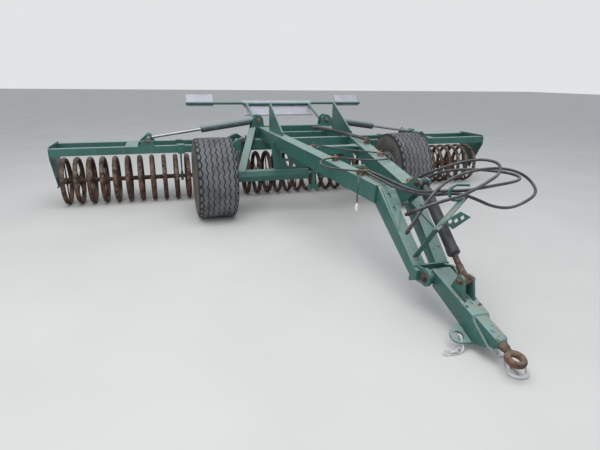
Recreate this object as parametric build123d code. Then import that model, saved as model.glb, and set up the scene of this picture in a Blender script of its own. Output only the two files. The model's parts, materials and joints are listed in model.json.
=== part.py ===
from build123d import *
import os
from math import atan2, cos, degrees, hypot, pi, radians, sin, tan

# Towed three-section ring roller. Millimetres, +Z up, ground at Z = 0, the drawbar points to -Y.
# Left is +X, as seen by a driver who looks along the direction of travel, which is -Y.

# Overall
HALF_WIDTH = 3120          # centre line to the outer face of a wing's end plate
FRAME_Y = 1520             # front face of the gang frames
PLATE = 12                 # common plate thickness
THICK_PLATE = 20           # plates that carry pins
CLEAR = 0.3                # clearance between a turning or sliding piece and its seat

# Gang frames: front and rear square tubes
BEAM = 90
BEAM_TOP = 760
FRAME_DEPTH = 594          # front face of the front tube to rear face of the rear tube
GANG_Y = FRAME_Y + FRAME_DEPTH / 2
REAR_BEAM_Y = FRAME_Y + FRAME_DEPTH - BEAM

# Rings and their axles
RING_D = 610
RING_SIDES = 20
RING_PITCH = 152.4
RING_WIDTH = 58
RING_RIDGE = 12            # width of the rim's worn outer edge
RIM_DEPTH = 42
SPOKES = 4
SPOKE_WIDTH = 22
SPOKE_THICK = 16
WING_RINGS = 15
CENTRE_RINGS = 10
OUTER_RING_INSET = 95      # outer face of the end plate to the centre of the outermost ring
SLEEVE = 60                # across flats of the eight-sided spacer sleeve between ring hubs
JOURNAL_R = 25
HOUSING_R = 62
SLEEVE_GAP = 3             # sleeve end to bearing housing
AXLE_Z = RING_D / 2

# Wing hinges
HINGE_X = 770
HINGE_Z = BEAM_TOP + 40
HINGE_R = 36
HINGE_PIN_R = 16
HINGE_GAP = 25             # hinge axis to the end of the wing's or the centre's tubes
EAR = 20                   # thickness of a hinge ear
FOLD_ANGLE = 90

# Wheels
WHEEL_X = 1244
WHEEL_Y = FRAME_Y - 698
TYRE_R = 470
TYRE_WIDTH = 472
RIM_R = 216
STUB_R = 38

# Axle and its webs
AXLE_BEAM = 125
AXLE_INNER = 75
AXLE_NOSE = 22             # how far the pressed front of the axle stands out at mid height
AXLE_END = 968             # outer end of the axle beam
WEB_OUT = 545

# Drawbar arms
ARM_W = 140
ARM_H = 150
ARM_X = 440                # centre line of the level rear length
ARM_TOP = 955              # top face of the level rear length
ARM_KINK_Y = FRAME_Y - 900 # the arms are level and parallel behind this, and fall and close ahead of it
ARM_BEND_Y = FRAME_Y - 2780
ARM_BEND_X = 127
ARM_BEND_Z = 797           # top face at the bend into the drop neck

# Neck and nose
FOOT_X = 92                # centre of a leg at the neck's foot
LEG_W = 104
LEG_H = 150
NOSE_Y = FRAME_Y - 3470    # nose hinge
NOSE_Z = 285
NOSE_TILT = 12.5           # the nose falls towards its tip by this angle
NOSE_PIN_R = 22
NOSE_EAR_R = 62
NOSE_W = 150
NOSE_H = 130
NOSE_LONG = 470            # hinge to the front end of the box
EYE_REACH = 790            # hinge to the centre of the eye
EYE_R = 70
EYE_BORE_R = 26
EYE_THICK = 46
RAM_TOP_Y = FRAME_Y - 3150
RAM_TOP_Z = 885
RAM_FOOT_OUT = 250         # along the nose from the hinge to the ram's foot pin
RAM_FOOT_UP = 150          # above the nose's centre line

# Towers and wing cylinders
TOWER_PIN_X = 506
TOWER_PIN_Z = 1044
TOWER_HEAD_R = 72
TOWER_IN = 110             # gap between a tower's two plates
TOWER_BASE_IN = 110        # pin to the inner edge of a tower's foot
TOWER_BASE_OUT = 130       # pin to the outer edge of a tower's foot
LUG_X = 1971
LUG_PIN_Z = 835
CYL_R = 48
CYL_LENGTH = 790           # base pin to gland
ROD_R = 19
PIN_R = 15
EYE_W = 50                 # width of the cylinders' eyes
EYE_OUT_R = 36
EYE_GAP = 2

# Saddles between the centre frame and the arms and towers, and cross members above them
SADDLE_H = ARM_TOP - ARM_H - BEAM_TOP
ARM_MEMBER_H = 100
TOWER_MEMBER_Z = 965

# Marker boards
RAIL_R = 21
RAIL_X = 505               # corner where a bent tube turns outwards
RAIL_Y = FRAME_Y + 1096
RAIL_Z = 1230
RAIL_END = 1420
RAIL_FOOT_Z = 985
BOARD_T = 20
BOARD_LEAN = 45
BOARD_GAP = 6              # a board stands this far off its tube, on pads

SIDES = (("left", 1), ("right", -1))

os.makedirs("parts", exist_ok=True)


def save(name, *solids):
    """Write one sub-part, one or several solids, to its own file."""
    shape = solids[0] if len(solids) == 1 else Compound(children=list(solids))
    export_step(shape, f"parts/{name}.step")


def block(x0, x1, y0, y1, z0, z1):
    """Box between two corners."""
    middle = Pos((x0 + x1) / 2, (y0 + y1) / 2, (z0 + z1) / 2)
    return middle * Box(abs(x1 - x0), abs(y1 - y0), abs(z1 - z0))


def slab_x(points, x0, x1):
    """Plate with an outline of (y, z) points, from x0 to x1."""
    face = make_face(Polyline(*[(0, y, z) for y, z in points], close=True))
    return Pos(min(x0, x1), 0, 0) * extrude(face, abs(x1 - x0), dir=(1, 0, 0))


def slab_y(points, y0, y1):
    """Plate with an outline of (x, z) points, from y0 to y1."""
    face = make_face(Polyline(*[(x, 0, z) for x, z in points], close=True))
    return Pos(0, min(y0, y1), 0) * extrude(face, abs(y1 - y0), dir=(0, 1, 0))


def disc_x(y, z, r, x0, x1):
    """Round bar along X."""
    return Pos((x0 + x1) / 2, y, z) * Rot(0, 90, 0) * Cylinder(r, abs(x1 - x0))


def disc_y(x, z, r, y0, y1):
    """Round bar along Y."""
    return Pos(x, (y0 + y1) / 2, z) * Rot(90, 0, 0) * Cylinder(r, abs(y1 - y0))


def bar(start, end, width, height):
    """Rectangular bar from start to end, its width level and its height in the upright plane."""
    start, end = Vector(*start), Vector(*end)
    along = (end - start).normalized()
    across = along.cross(Vector(0, 0, 1)).normalized()
    plane = Plane(origin=start, x_dir=across, z_dir=along)
    return extrude(plane * Rectangle(width, height), (end - start).length)


def rod(start, end, r):
    """Round bar from start to end."""
    start, end = Vector(*start), Vector(*end)
    plane = Plane(origin=start, z_dir=(end - start).normalized())
    return extrude(plane * Circle(r), (end - start).length)


def capsule_y(centre, r, base, y0, y1):
    """Ear plate in an XZ plane: a round head at centre, tapering to the two base points."""
    cx, cz = centre
    outline = make_hull(
        (Pos(cx, cz) * Circle(r)).edges()
        + Line((base[0][0], base[0][1]), (base[1][0], base[1][1])).edges()
    )
    face = Plane(origin=(0, 0, 0), x_dir=(1, 0, 0), z_dir=(0, -1, 0)) * outline
    return Pos(0, max(y0, y1), 0) * extrude(face, abs(y1 - y0), dir=(0, -1, 0))


def mirrored(shape, side):
    """The shape itself on the left, its mirror image on the right."""
    return shape if side > 0 else mirror(shape, about=Plane.YZ)


# Ring gangs
def ring(x):
    """One cast ring: a ridged rim of flat facets on spokes that end at the sleeve."""
    apothem = RING_D / 2
    corner = apothem / cos(pi / RING_SIDES)
    inner = (apothem - RIM_DEPTH) / cos(pi / RING_SIDES)
    turn = 180 / RING_SIDES
    ridge = RING_RIDGE / 2
    half = RING_WIDTH / 2

    def polygon(r, at):
        plane = Plane(origin=(at, GANG_Y, AXLE_Z), x_dir=(0, 0, 1), z_dir=(1, 0, 0))
        return plane * Rot(0, 0, turn) * RegularPolygon(r, RING_SIDES)

    shoulder = corner - RIM_DEPTH * 0.45
    rim = loft([polygon(shoulder, x - half), polygon(corner, x - ridge)])
    rim += extrude(polygon(corner, x - ridge), 2 * ridge, dir=(1, 0, 0))
    rim += loft([polygon(corner, x + ridge), polygon(shoulder, x + half)])
    rim -= Pos(-1, 0, 0) * extrude(polygon(inner, x - half), RING_WIDTH + 2, dir=(1, 0, 0))
    reach = apothem - RIM_DEPTH + 4
    spokes = [
        Pos(x, GANG_Y, AXLE_Z) * Rot(90 * k, 0, 0) * Pos(0, 0, (reach + SLEEVE / 2 - 4) / 2)
        * Box(SPOKE_THICK, SPOKE_WIDTH, reach - SLEEVE / 2 + 4)
        for k in range(SPOKES)
    ]
    return rim, spokes


def sleeve(x0, x1):
    """Eight-sided spacer sleeve along the axle."""
    plane = Plane(origin=(x0, GANG_Y, AXLE_Z), x_dir=(0, 0, 1), z_dir=(1, 0, 0))
    corner = SLEEVE / 2 / cos(pi / 8)
    return extrude(plane * Rot(0, 0, 22.5) * RegularPolygon(corner, 8), x1 - x0)


def gang(ring_places, sleeves, journals):
    """Rings, spacer sleeves and journals of one axle, joined."""
    body = sleeve(*sleeves[0])
    for x0, x1 in sleeves[1:]:
        body += sleeve(x0, x1)
    for x0, x1 in journals:
        body += disc_x(GANG_Y, AXLE_Z, JOURNAL_R, x0, x1)
    pieces = []
    for x in ring_places:
        rim, spokes = ring(x)
        pieces.append(rim)
        pieces += spokes
    return body.fuse(*pieces)


OUTER_RING_X = HALF_WIDTH - OUTER_RING_INSET
wing_ring_places = [OUTER_RING_X - k * RING_PITCH for k in range(WING_RINGS)]
centre_ring_places = [(k - (CENTRE_RINGS - 1) / 2) * RING_PITCH for k in range(CENTRE_RINGS)]
MID_HANGER_X = OUTER_RING_X - 9.5 * RING_PITCH
WING_INNER_X = HINGE_X + HINGE_GAP
CENTRE_OUTER_X = HINGE_X - HINGE_GAP
HOUSING_W = 32
INNER_HOUSING = (WING_INNER_X, WING_INNER_X + HOUSING_W)
MID_HOUSING = (MID_HANGER_X - HOUSING_W / 2, MID_HANGER_X + HOUSING_W / 2)
OUTER_HOUSING = (HALF_WIDTH - HOUSING_W, HALF_WIDTH)
CENTRE_HOUSING_W = 26

wing_gang = gang(
    wing_ring_places,
    (
        (INNER_HOUSING[1] + SLEEVE_GAP, MID_HOUSING[0] - SLEEVE_GAP),
        (MID_HOUSING[1] + SLEEVE_GAP, OUTER_HOUSING[0] - SLEEVE_GAP),
    ),
    ((INNER_HOUSING[0], OUTER_HOUSING[1] - 2),),
)
for name, side in SIDES:
    save(f"{name}_ring_gang", mirrored(wing_gang, side))
centre_end = CENTRE_OUTER_X - CENTRE_HOUSING_W
centre_gang = gang(
    centre_ring_places,
    ((-centre_end + SLEEVE_GAP, centre_end - SLEEVE_GAP),),
    ((-CENTRE_OUTER_X + 2, CENTRE_OUTER_X - 2),),
)
save("centre_ring_gang", centre_gang)


# Gang frames
def hanger(x0, x1, plate_x, top_half, top_z):
    """Bearing hanger: a plate that narrows from the tubes to a round housing on the axle."""
    outline = (
        (GANG_Y - top_half, top_z),
        (GANG_Y + top_half, top_z),
        (GANG_Y + top_half, BEAM_TOP - BEAM - 20),
        (GANG_Y + HOUSING_R * 0.98, AXLE_Z - 12),
        (GANG_Y, AXLE_Z - HOUSING_R),
        (GANG_Y - HOUSING_R * 0.98, AXLE_Z - 12),
        (GANG_Y - top_half, BEAM_TOP - BEAM - 20),
    )
    body = slab_x(outline, plate_x, plate_x + PLATE)
    body += disc_x(GANG_Y, AXLE_Z, HOUSING_R, x0, x1)
    return body - disc_x(GANG_Y, AXLE_Z, JOURNAL_R + CLEAR, x0 - 1, x1 + 1)


END_PLATE_TOP = BEAM_TOP + 24
END_X = HALF_WIDTH - PLATE
beam_faces = (FRAME_Y, REAR_BEAM_Y)
HINGE_EAR_Y = ((5, 25), (65, 85))      # the wing's two ears at each tube, from the tube's front face
CENTRE_EAR_Y = (27, 63)                # the centre's ear between them


def hinge_ears(y, spans, base_x0, base_x1, bore):
    """Hinge ears on one tube."""
    ears = []
    for a, b in spans:
        ear = capsule_y((HINGE_X, HINGE_Z), HINGE_R, ((base_x0, BEAM_TOP), (base_x1, BEAM_TOP)), y + a, y + b)
        if bore:
            ear -= disc_y(HINGE_X, HINGE_Z, HINGE_PIN_R + CLEAR, y + a - 1, y + b + 1)
        ears.append(ear)
    return ears


def wing_frame():
    """A wing's two tubes, their hinge ears, the inner hanger and the flat cross plate."""
    body = block(WING_INNER_X, END_X, FRAME_Y, FRAME_Y + BEAM, BEAM_TOP - BEAM, BEAM_TOP)
    body += block(WING_INNER_X, END_X, REAR_BEAM_Y, REAR_BEAM_Y + BEAM, BEAM_TOP - BEAM, BEAM_TOP)
    body += hanger(*INNER_HOUSING, WING_INNER_X, FRAME_DEPTH / 2, BEAM_TOP)
    body += block(2110, 2260, FRAME_Y + BEAM - 1, REAR_BEAM_Y + 1, BEAM_TOP - PLATE, BEAM_TOP)
    for y in beam_faces:
        for ear in hinge_ears(y, HINGE_EAR_Y, HINGE_X + 32, HINGE_X + 170, True):
            body += ear
    return body


def wing_end_plate():
    """Outer end plate, which tapers from the tubes to the axle's bearing."""
    half = FRAME_DEPTH / 2 + 6
    outline = (
        (GANG_Y - half + 30, END_PLATE_TOP),
        (GANG_Y + half - 30, END_PLATE_TOP),
        (GANG_Y + half, END_PLATE_TOP - 30),
        (GANG_Y + half, BEAM_TOP - BEAM - 30),
        (GANG_Y + 70, AXLE_Z - 60),
        (GANG_Y - 70, AXLE_Z - 60),
        (GANG_Y - half, BEAM_TOP - BEAM - 30),
        (GANG_Y - half, END_PLATE_TOP - 30),
    )
    body = slab_x(outline, END_X, HALF_WIDTH)
    body += disc_x(GANG_Y, AXLE_Z, HOUSING_R, *OUTER_HOUSING)
    return body - disc_x(GANG_Y, AXLE_Z, JOURNAL_R + CLEAR, OUTER_HOUSING[0] - 1, HALF_WIDTH + 1)


def mid_hanger():
    """Hanger at the wing's middle bearing, clamped round both tubes."""
    body = hanger(*MID_HOUSING, MID_HANGER_X - PLATE / 2, FRAME_DEPTH / 2 - BEAM, BEAM_TOP - BEAM)
    for y in beam_faces:
        clamp = block(MID_HANGER_X - 45, MID_HANGER_X + 45, y - 12, y + BEAM + 12, BEAM_TOP - BEAM - 14, BEAM_TOP + 12)
        clamp -= block(MID_HANGER_X - 46, MID_HANGER_X + 46, y, y + BEAM, BEAM_TOP - BEAM, BEAM_TOP)
        body += clamp
    return body


LUG_HALF = EYE_W / 2 + EYE_GAP


def wing_lug():
    """Anchor of the folding cylinder: a plate on each tube and a tube from each to an ear beside the eye."""
    base = ((LUG_X - 73, BEAM_TOP), (LUG_X + 137, BEAM_TOP))
    body = capsule_y((LUG_X, LUG_PIN_Z), 34, base, FRAME_Y + 2, FRAME_Y + 2 + PLATE)
    body += disc_y(LUG_X, LUG_PIN_Z, 26, FRAME_Y - 8, GANG_Y - LUG_HALF)
    body += disc_y(LUG_X, LUG_PIN_Z, 44, GANG_Y - LUG_HALF - EAR, GANG_Y - LUG_HALF)
    far = capsule_y((LUG_X, LUG_PIN_Z), 34, base, REAR_BEAM_Y + BEAM - 14, REAR_BEAM_Y + BEAM - 2)
    far += disc_y(LUG_X, LUG_PIN_Z, 26, GANG_Y + LUG_HALF, REAR_BEAM_Y + BEAM + 8)
    far += disc_y(LUG_X, LUG_PIN_Z, 44, GANG_Y + LUG_HALF, GANG_Y + LUG_HALF + EAR)
    return body, far


for name, side in SIDES:
    save(f"{name}_wing_frame", mirrored(wing_frame(), side))
    save(f"{name}_wing_end_plate", mirrored(wing_end_plate(), side))
    save(f"{name}_wing_mid_hanger", mirrored(mid_hanger(), side))
    save(f"{name}_wing_cylinder_lug", *[mirrored(piece, side) for piece in wing_lug()])


def centre_frame():
    """The centre section's two tubes with a hanger and hinge ears at each end."""
    body = block(-CENTRE_OUTER_X, CENTRE_OUTER_X, FRAME_Y, FRAME_Y + BEAM, BEAM_TOP - BEAM, BEAM_TOP)
    body += block(-CENTRE_OUTER_X, CENTRE_OUTER_X, REAR_BEAM_Y, REAR_BEAM_Y + BEAM, BEAM_TOP - BEAM, BEAM_TOP)
    for side in (1, -1):
        body += mirrored(
            hanger(centre_end, CENTRE_OUTER_X, CENTRE_OUTER_X - PLATE, FRAME_DEPTH / 2, BEAM_TOP), side
        )
        for y in beam_faces:
            ear = hinge_ears(y, (CENTRE_EAR_Y,), HINGE_X - 130, HINGE_X - 32, False)[0]
            ear += disc_y(HINGE_X, HINGE_Z, HINGE_PIN_R, y, y + BEAM)
            body += mirrored(ear, side)
    return body


save("centre_gang_frame", centre_frame())

TOWER_HALF = TOWER_IN / 2
TOWER_BASE_Z = BEAM_TOP + SADDLE_H
TOWER_FRONT_Y = GANG_Y - TOWER_HALF - THICK_PLATE
TOWER_REAR_Y = GANG_Y + TOWER_HALF + THICK_PLATE
ARM_IN = ARM_X - ARM_W / 2
ARM_OUT = ARM_X + ARM_W / 2

# Saddles on the centre frame, the member between the arms' rear ends and the one between the towers
saddles = []
for side in (1, -1):
    x0, x1 = side * ARM_IN, side * (TOWER_PIN_X + TOWER_BASE_OUT)
    saddles.append(block(x0, x1, FRAME_Y, FRAME_Y + FRAME_DEPTH, BEAM_TOP, TOWER_BASE_Z))
save("frame_saddles", *saddles)
arm_member = block(-ARM_IN, ARM_IN, FRAME_Y, FRAME_Y + BEAM, TOWER_BASE_Z, TOWER_BASE_Z + ARM_MEMBER_H - 5)
tower_member_x = TOWER_PIN_X - 76
tower_member = block(
    -tower_member_x, tower_member_x, GANG_Y - TOWER_HALF, GANG_Y + TOWER_HALF, TOWER_MEMBER_Z - 100, TOWER_MEMBER_Z
)
save("upper_cross_members", arm_member, tower_member)


# Towers
def tower():
    """Two upright plates either side of the cylinder's base eye, their foot plate and the pin through them."""
    foot_x0, foot_x1 = TOWER_PIN_X - TOWER_BASE_IN, TOWER_PIN_X + TOWER_BASE_OUT
    base = ((foot_x0, TOWER_BASE_Z), (foot_x1, TOWER_BASE_Z))
    body = block(foot_x0, foot_x1, GANG_Y - TOWER_HALF, GANG_Y + TOWER_HALF, TOWER_BASE_Z, TOWER_BASE_Z + PLATE)
    for sign in (-1, 1):
        near = GANG_Y + sign * TOWER_HALF
        far = near + sign * THICK_PLATE
        body += capsule_y((TOWER_PIN_X, TOWER_PIN_Z), TOWER_HEAD_R, base, near, far)
    return body + disc_y(TOWER_PIN_X, TOWER_PIN_Z, PIN_R, TOWER_FRONT_Y - 14, TOWER_REAR_Y + 14)


for name, side in SIDES:
    save(f"{name}_tower", mirrored(tower(), side))


# Drawbar arms: a level rear length and a falling, closing front length
def arm_point(y):
    """Centre of the arm's section at y, on the front length."""
    share = (y - ARM_BEND_Y) / (ARM_KINK_Y - ARM_BEND_Y)
    x = ARM_BEND_X + share * (ARM_X - ARM_BEND_X)
    z = ARM_BEND_Z + share * (ARM_TOP - ARM_BEND_Z) - ARM_H / 2
    return x, y, z


arm = block(ARM_IN, ARM_OUT, ARM_KINK_Y, TOWER_FRONT_Y, ARM_TOP - ARM_H, ARM_TOP)
arm += bar(arm_point(ARM_BEND_Y), arm_point(ARM_KINK_Y + 12), ARM_W, ARM_H) - block(
    0, 700, ARM_KINK_Y + 0.01, TOWER_FRONT_Y, 600, 1100
)
arms = {name: mirrored(arm, side) for name, side in SIDES}
for name in arms:
    save(f"{name}_drawbar_arm", arms[name])

# Cross members between the arms
CROSS_Y = FRAME_Y - 878
CROSS_TOP = ARM_TOP - 22
CROSS_H = 100
BRACE_Y = FRAME_Y - 1340
BRACE_HALF = 55
BRACE_FLARE = 110
BRACE_DROP = 80
cross = block(-ARM_IN, ARM_IN, CROSS_Y, CROSS_Y + BEAM, CROSS_TOP - CROSS_H, CROSS_TOP)
brace_x, _, brace_z = arm_point(BRACE_Y)
brace_top = brace_z + ARM_H / 2 - 18
brace_reach = brace_x + 40
waist = brace_x - ARM_W / 2 - BRACE_FLARE
outline = [
    (-brace_reach, BRACE_Y - BRACE_HALF - BRACE_FLARE),
    (-waist, BRACE_Y - BRACE_HALF),
    (waist, BRACE_Y - BRACE_HALF),
    (brace_reach, BRACE_Y - BRACE_HALF - BRACE_FLARE),
    (brace_reach, BRACE_Y + BRACE_HALF + BRACE_FLARE),
    (waist, BRACE_Y + BRACE_HALF),
    (-waist, BRACE_Y + BRACE_HALF),
    (-brace_reach, BRACE_Y + BRACE_HALF + BRACE_FLARE),
]
brace = Pos(0, 0, brace_top - PLATE) * extrude(make_face(Polyline(*outline, close=True)), PLATE)
brace += block(
    -brace_reach, brace_reach, BRACE_Y - BRACE_HALF, BRACE_Y - BRACE_HALF + PLATE, brace_top - BRACE_DROP, brace_top - 1
)
brace = brace - arms["left"] - arms["right"]
brace = brace.solids().sort_by(SortBy.VOLUME)[-1]
save("drawbar_cross_members", cross, brace)

# Horns on the arms
HORN_FRONT_Y = FRAME_Y - 836
HORN_REAR_Y = FRAME_Y - 190
HORN_TOP = 1307
HORN_T = 16
horn_outline = (
    (HORN_FRONT_Y, ARM_TOP),
    (HORN_REAR_Y, ARM_TOP),
    (HORN_REAR_Y, HORN_TOP),
    (HORN_REAR_Y - 25, HORN_TOP),
    (HORN_FRONT_Y, ARM_TOP + 40),
)
horns = [slab_x(horn_outline, side * ARM_X - HORN_T / 2, side * ARM_X + HORN_T / 2) for side in (1, -1)]
save("drawbar_horns", *horns)

# Axle beam, webs and struts
axle_section = (
    (WHEEL_Y + 55, TYRE_R + AXLE_BEAM / 2),
    (WHEEL_Y + 55, TYRE_R - AXLE_BEAM / 2),
    (WHEEL_Y - 50, TYRE_R - AXLE_BEAM / 2),
    (WHEEL_Y - 50 - AXLE_NOSE, TYRE_R),
    (WHEEL_Y - 50, TYRE_R + AXLE_BEAM / 2),
)
axles = []
webs = []
struts = []
for side in (1, -1):
    half = slab_x(axle_section, side * AXLE_INNER, side * AXLE_END)
    half += disc_x(WHEEL_Y, TYRE_R, STUB_R, side * AXLE_END, side * (WHEEL_X + 30))
    axles.append(half)
    top = TYRE_R + AXLE_BEAM / 2
    outline = (
        (510, top),
        (AXLE_INNER, top),
        (AXLE_INNER, top + 30),
        (ARM_IN - 10, ARM_TOP - ARM_H),
        (ARM_OUT, ARM_TOP - ARM_H),
        (ARM_OUT, ARM_TOP - 85),
        (WEB_OUT + 10, ARM_TOP - 85),
    )
    web = slab_y(outline, WHEEL_Y - 8, WHEEL_Y + 8)
    web -= slab_y(((425, 770), (405, 662), (300, 662)), WHEEL_Y - 9, WHEEL_Y + 9)
    web -= slab_y(((365, 632), (300, 632), (225, 560), (330, 560)), WHEEL_Y - 9, WHEEL_Y + 9)
    webs.append(mirrored(web, side))
    strut = bar((925, WHEEL_Y - 40, top - 20), (575, TOWER_FRONT_Y + 40, 938), 90, 50)
    strut -= block(700, 1100, WHEEL_Y - 200, WHEEL_Y + 200, top - 200, top)
    strut -= block(400, 800, TOWER_FRONT_Y, TOWER_FRONT_Y + 200, 700, 1200)
    strut -= block(ARM_IN, ARM_OUT, WHEEL_Y, TOWER_FRONT_Y, ARM_TOP - ARM_H, ARM_TOP)
    strut -= saddles[0]
    struts.append(mirrored(strut, side))
save("axle_beam", *axles)
save("axle_webs", *webs)
save("tower_struts", *struts)

# Hanging bracket between the axle's halves
bracket = block(-22, 22, WHEEL_Y - 30, WHEEL_Y + 30, 300, TYRE_R + 60)
bracket += disc_y(-38, 282, 34, WHEEL_Y - 15, WHEEL_Y + 15)
bracket += disc_y(38, 282, 34, WHEEL_Y - 15, WHEEL_Y + 15)
bracket += disc_x(WHEEL_Y, TYRE_R, 20, -AXLE_INNER, AXLE_INNER)
save("axle_centre_bracket", bracket)

# Wheels
TYRE_HALF = TYRE_WIDTH / 2
tyre_profile = (
    (-TYRE_HALF * 0.78, RIM_R + CLEAR),
    (-TYRE_HALF * 0.78, RIM_R + 24),
    (-TYRE_HALF * 0.94, RIM_R + 70),
    (-TYRE_HALF, RIM_R + 130),
    (-TYRE_HALF * 0.93, TYRE_R - 62),
    (-TYRE_HALF * 0.74, TYRE_R - 18),
    (-TYRE_HALF * 0.40, TYRE_R),
    (TYRE_HALF * 0.40, TYRE_R),
    (TYRE_HALF * 0.74, TYRE_R - 18),
    (TYRE_HALF * 0.93, TYRE_R - 62),
    (TYRE_HALF, RIM_R + 130),
    (TYRE_HALF * 0.94, RIM_R + 70),
    (TYRE_HALF * 0.78, RIM_R + 24),
    (TYRE_HALF * 0.78, RIM_R + CLEAR),
)
rim_profile = (
    (-TYRE_HALF * 0.84, RIM_R - 14),
    (-TYRE_HALF * 0.84, RIM_R + 22),
    (-TYRE_HALF * 0.78 - CLEAR, RIM_R + 22),
    (-TYRE_HALF * 0.78 - CLEAR, RIM_R),
    (TYRE_HALF * 0.78 + CLEAR, RIM_R),
    (TYRE_HALF * 0.78 + CLEAR, RIM_R + 22),
    (TYRE_HALF * 0.84, RIM_R + 22),
    (TYRE_HALF * 0.84, RIM_R - 14),
)


def revolved(profile, x):
    """Solid of revolution about the wheel's axis from (offset along X, radius) points."""
    plane_points = [(x + a, WHEEL_Y, TYRE_R + r) for a, r in profile]
    face = make_face(Polyline(*plane_points, close=True))
    return revolve(face, Axis((x, WHEEL_Y, TYRE_R), (1, 0, 0)))


def wheel_rim(x):
    """Rim with its dished disc and hub; the hub turns on the stub."""
    body = revolved(rim_profile, x)
    body += disc_x(WHEEL_Y, TYRE_R, RIM_R - 10, x - 8, x + 8)
    body += disc_x(WHEEL_Y, TYRE_R, 78, x - 110, x + 62)
    body += disc_x(WHEEL_Y, TYRE_R, 52, x + 60, x + 96)
    return body - disc_x(WHEEL_Y, TYRE_R, STUB_R + CLEAR, x - 112, x + 32)


for name, side in SIDES:
    save(f"{name}_tyre", mirrored(revolved(tyre_profile, WHEEL_X), side))
    save(f"{name}_wheel_rim", mirrored(wheel_rim(WHEEL_X), side))


# Wing cylinders
cyl_start = Vector(TOWER_PIN_X, GANG_Y, TOWER_PIN_Z)
cyl_end = Vector(LUG_X, GANG_Y, LUG_PIN_Z)
cyl_dir = (cyl_end - cyl_start).normalized()
cyl_span = (cyl_end - cyl_start).length
ROD_IN = 120               # length of rod that stays inside the barrel at full reach


def along(distance):
    """Point on the cylinder's axis."""
    point = cyl_start + cyl_dir * distance
    return point.X, point.Y, point.Z


def wing_cylinder():
    """Barrel with its base eye and gland, bored for the rod, and the rod with its eye."""
    barrel = rod(along(40), along(CYL_LENGTH), CYL_R)
    barrel += disc_y(TOWER_PIN_X, TOWER_PIN_Z, EYE_OUT_R + 8, GANG_Y - TOWER_HALF + EYE_GAP, GANG_Y + TOWER_HALF - EYE_GAP)
    barrel -= disc_y(TOWER_PIN_X, TOWER_PIN_Z, PIN_R + CLEAR, GANG_Y - 60, GANG_Y + 60)
    barrel -= rod(along(80), along(CYL_LENGTH + 1), ROD_R + CLEAR)
    piston = rod(along(CYL_LENGTH - ROD_IN), along(cyl_span - EYE_OUT_R * 0.8), ROD_R)
    piston += disc_y(LUG_X, LUG_PIN_Z, EYE_OUT_R, GANG_Y - EYE_W / 2, GANG_Y + EYE_W / 2)
    return barrel, piston


barrel, piston = wing_cylinder()
for name, side in SIDES:
    save(f"{name}_cylinder_barrel", mirrored(barrel, side))
    save(f"{name}_cylinder_rod", mirrored(piston, side))

# Drop neck: two legs, the plate over their bend, the plate across their foot, the hinge ears and the ram's lugs
nose_down = radians(NOSE_TILT)
bend_x, bend_y, bend_z = arm_point(ARM_BEND_Y)
LEG_TOP = (bend_y + 40, bend_z + 4)
LEG_FOOT = (NOSE_Y + 95, NOSE_Z + 105)
leg_long = hypot(LEG_FOOT[0] - LEG_TOP[0], LEG_FOOT[1] - LEG_TOP[1])
leg_fall = ((LEG_FOOT[0] - LEG_TOP[0]) / leg_long, (LEG_FOOT[1] - LEG_TOP[1]) / leg_long)


def neck_point(down, up):
    """Point at a distance down the legs from their top and a height above their centre line, as (y, z)."""
    y = LEG_TOP[0] + leg_fall[0] * down + leg_fall[1] * up
    z = LEG_TOP[1] + leg_fall[1] * down - leg_fall[0] * up
    return y, z


def neck_slab(points, x0, x1):
    """Plate along X with an outline of (down, up) points in the legs' own axes."""
    return slab_x([neck_point(down, up) for down, up in points], x0, x1)


legs = []
for side in (1, -1):
    leg = bar((side * bend_x, *LEG_TOP), (side * FOOT_X, *LEG_FOOT), LEG_W, LEG_H)
    ear = slab_x(
        (
            (NOSE_Y - 30, NOSE_Z + 55),
            (LEG_FOOT[0] + 95, LEG_FOOT[1] + 50),
            (LEG_FOOT[0] + 55, LEG_FOOT[1] - 90),
            (NOSE_Y + 20, NOSE_Z - 58),
        ),
        side * 98,
        side * 118,
    )
    ear += disc_x(NOSE_Y, NOSE_Z, NOSE_EAR_R, side * 98, side * 118)
    legs.append(leg + ear)
neck = legs[0] + legs[1]
plate_reach = bend_x + LEG_W / 2 - 4
skin = LEG_H / 2 - 1
neck += neck_slab(((70, skin), (370, skin), (370, skin + PLATE), (70, skin + PLATE)), -plate_reach, plate_reach)
foot_reach = FOOT_X + LEG_W / 2
neck += neck_slab(
    ((leg_long - 16, -LEG_H / 2 - 6), (leg_long, -LEG_H / 2 - 6), (leg_long, LEG_H / 2 + 8), (leg_long - 16, LEG_H / 2 + 8)),
    -foot_reach,
    foot_reach,
)
plate_a, plate_b = neck_point(140, skin), neck_point(360, skin)
for side in (1, -1):
    neck += slab_x(
        (
            plate_a,
            (RAM_TOP_Y + 12, RAM_TOP_Z + 38),
            (RAM_TOP_Y - 28, RAM_TOP_Z + 28),
            (RAM_TOP_Y - 40, RAM_TOP_Z),
            (RAM_TOP_Y - 14, RAM_TOP_Z - 40),
            plate_b,
        ),
        side * LUG_HALF,
        side * (LUG_HALF + 16),
    )
neck += disc_x(RAM_TOP_Y, RAM_TOP_Z, PIN_R, -LUG_HALF - 30, LUG_HALF + 30)
neck += disc_x(NOSE_Y, NOSE_Z, NOSE_PIN_R, -132, 132)
neck = neck - arms["left"] - arms["right"]
neck = neck.solids().sort_by(SortBy.VOLUME)[-1]
save("drop_neck", neck)


# Nose: box beam, hinge tube and ram lugs
def nose_point(out, up):
    """Point at a distance along the nose from its hinge and a height above its centre line, as (y, z)."""
    y = NOSE_Y - out * cos(nose_down) - up * sin(nose_down)
    z = NOSE_Z - out * sin(nose_down) + up * cos(nose_down)
    return y, z


def nose_slab(points, x0, x1):
    """Plate along X with an outline of (out, up) points in the nose's own axes."""
    return slab_x([nose_point(out, up) for out, up in points], x0, x1)


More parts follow.
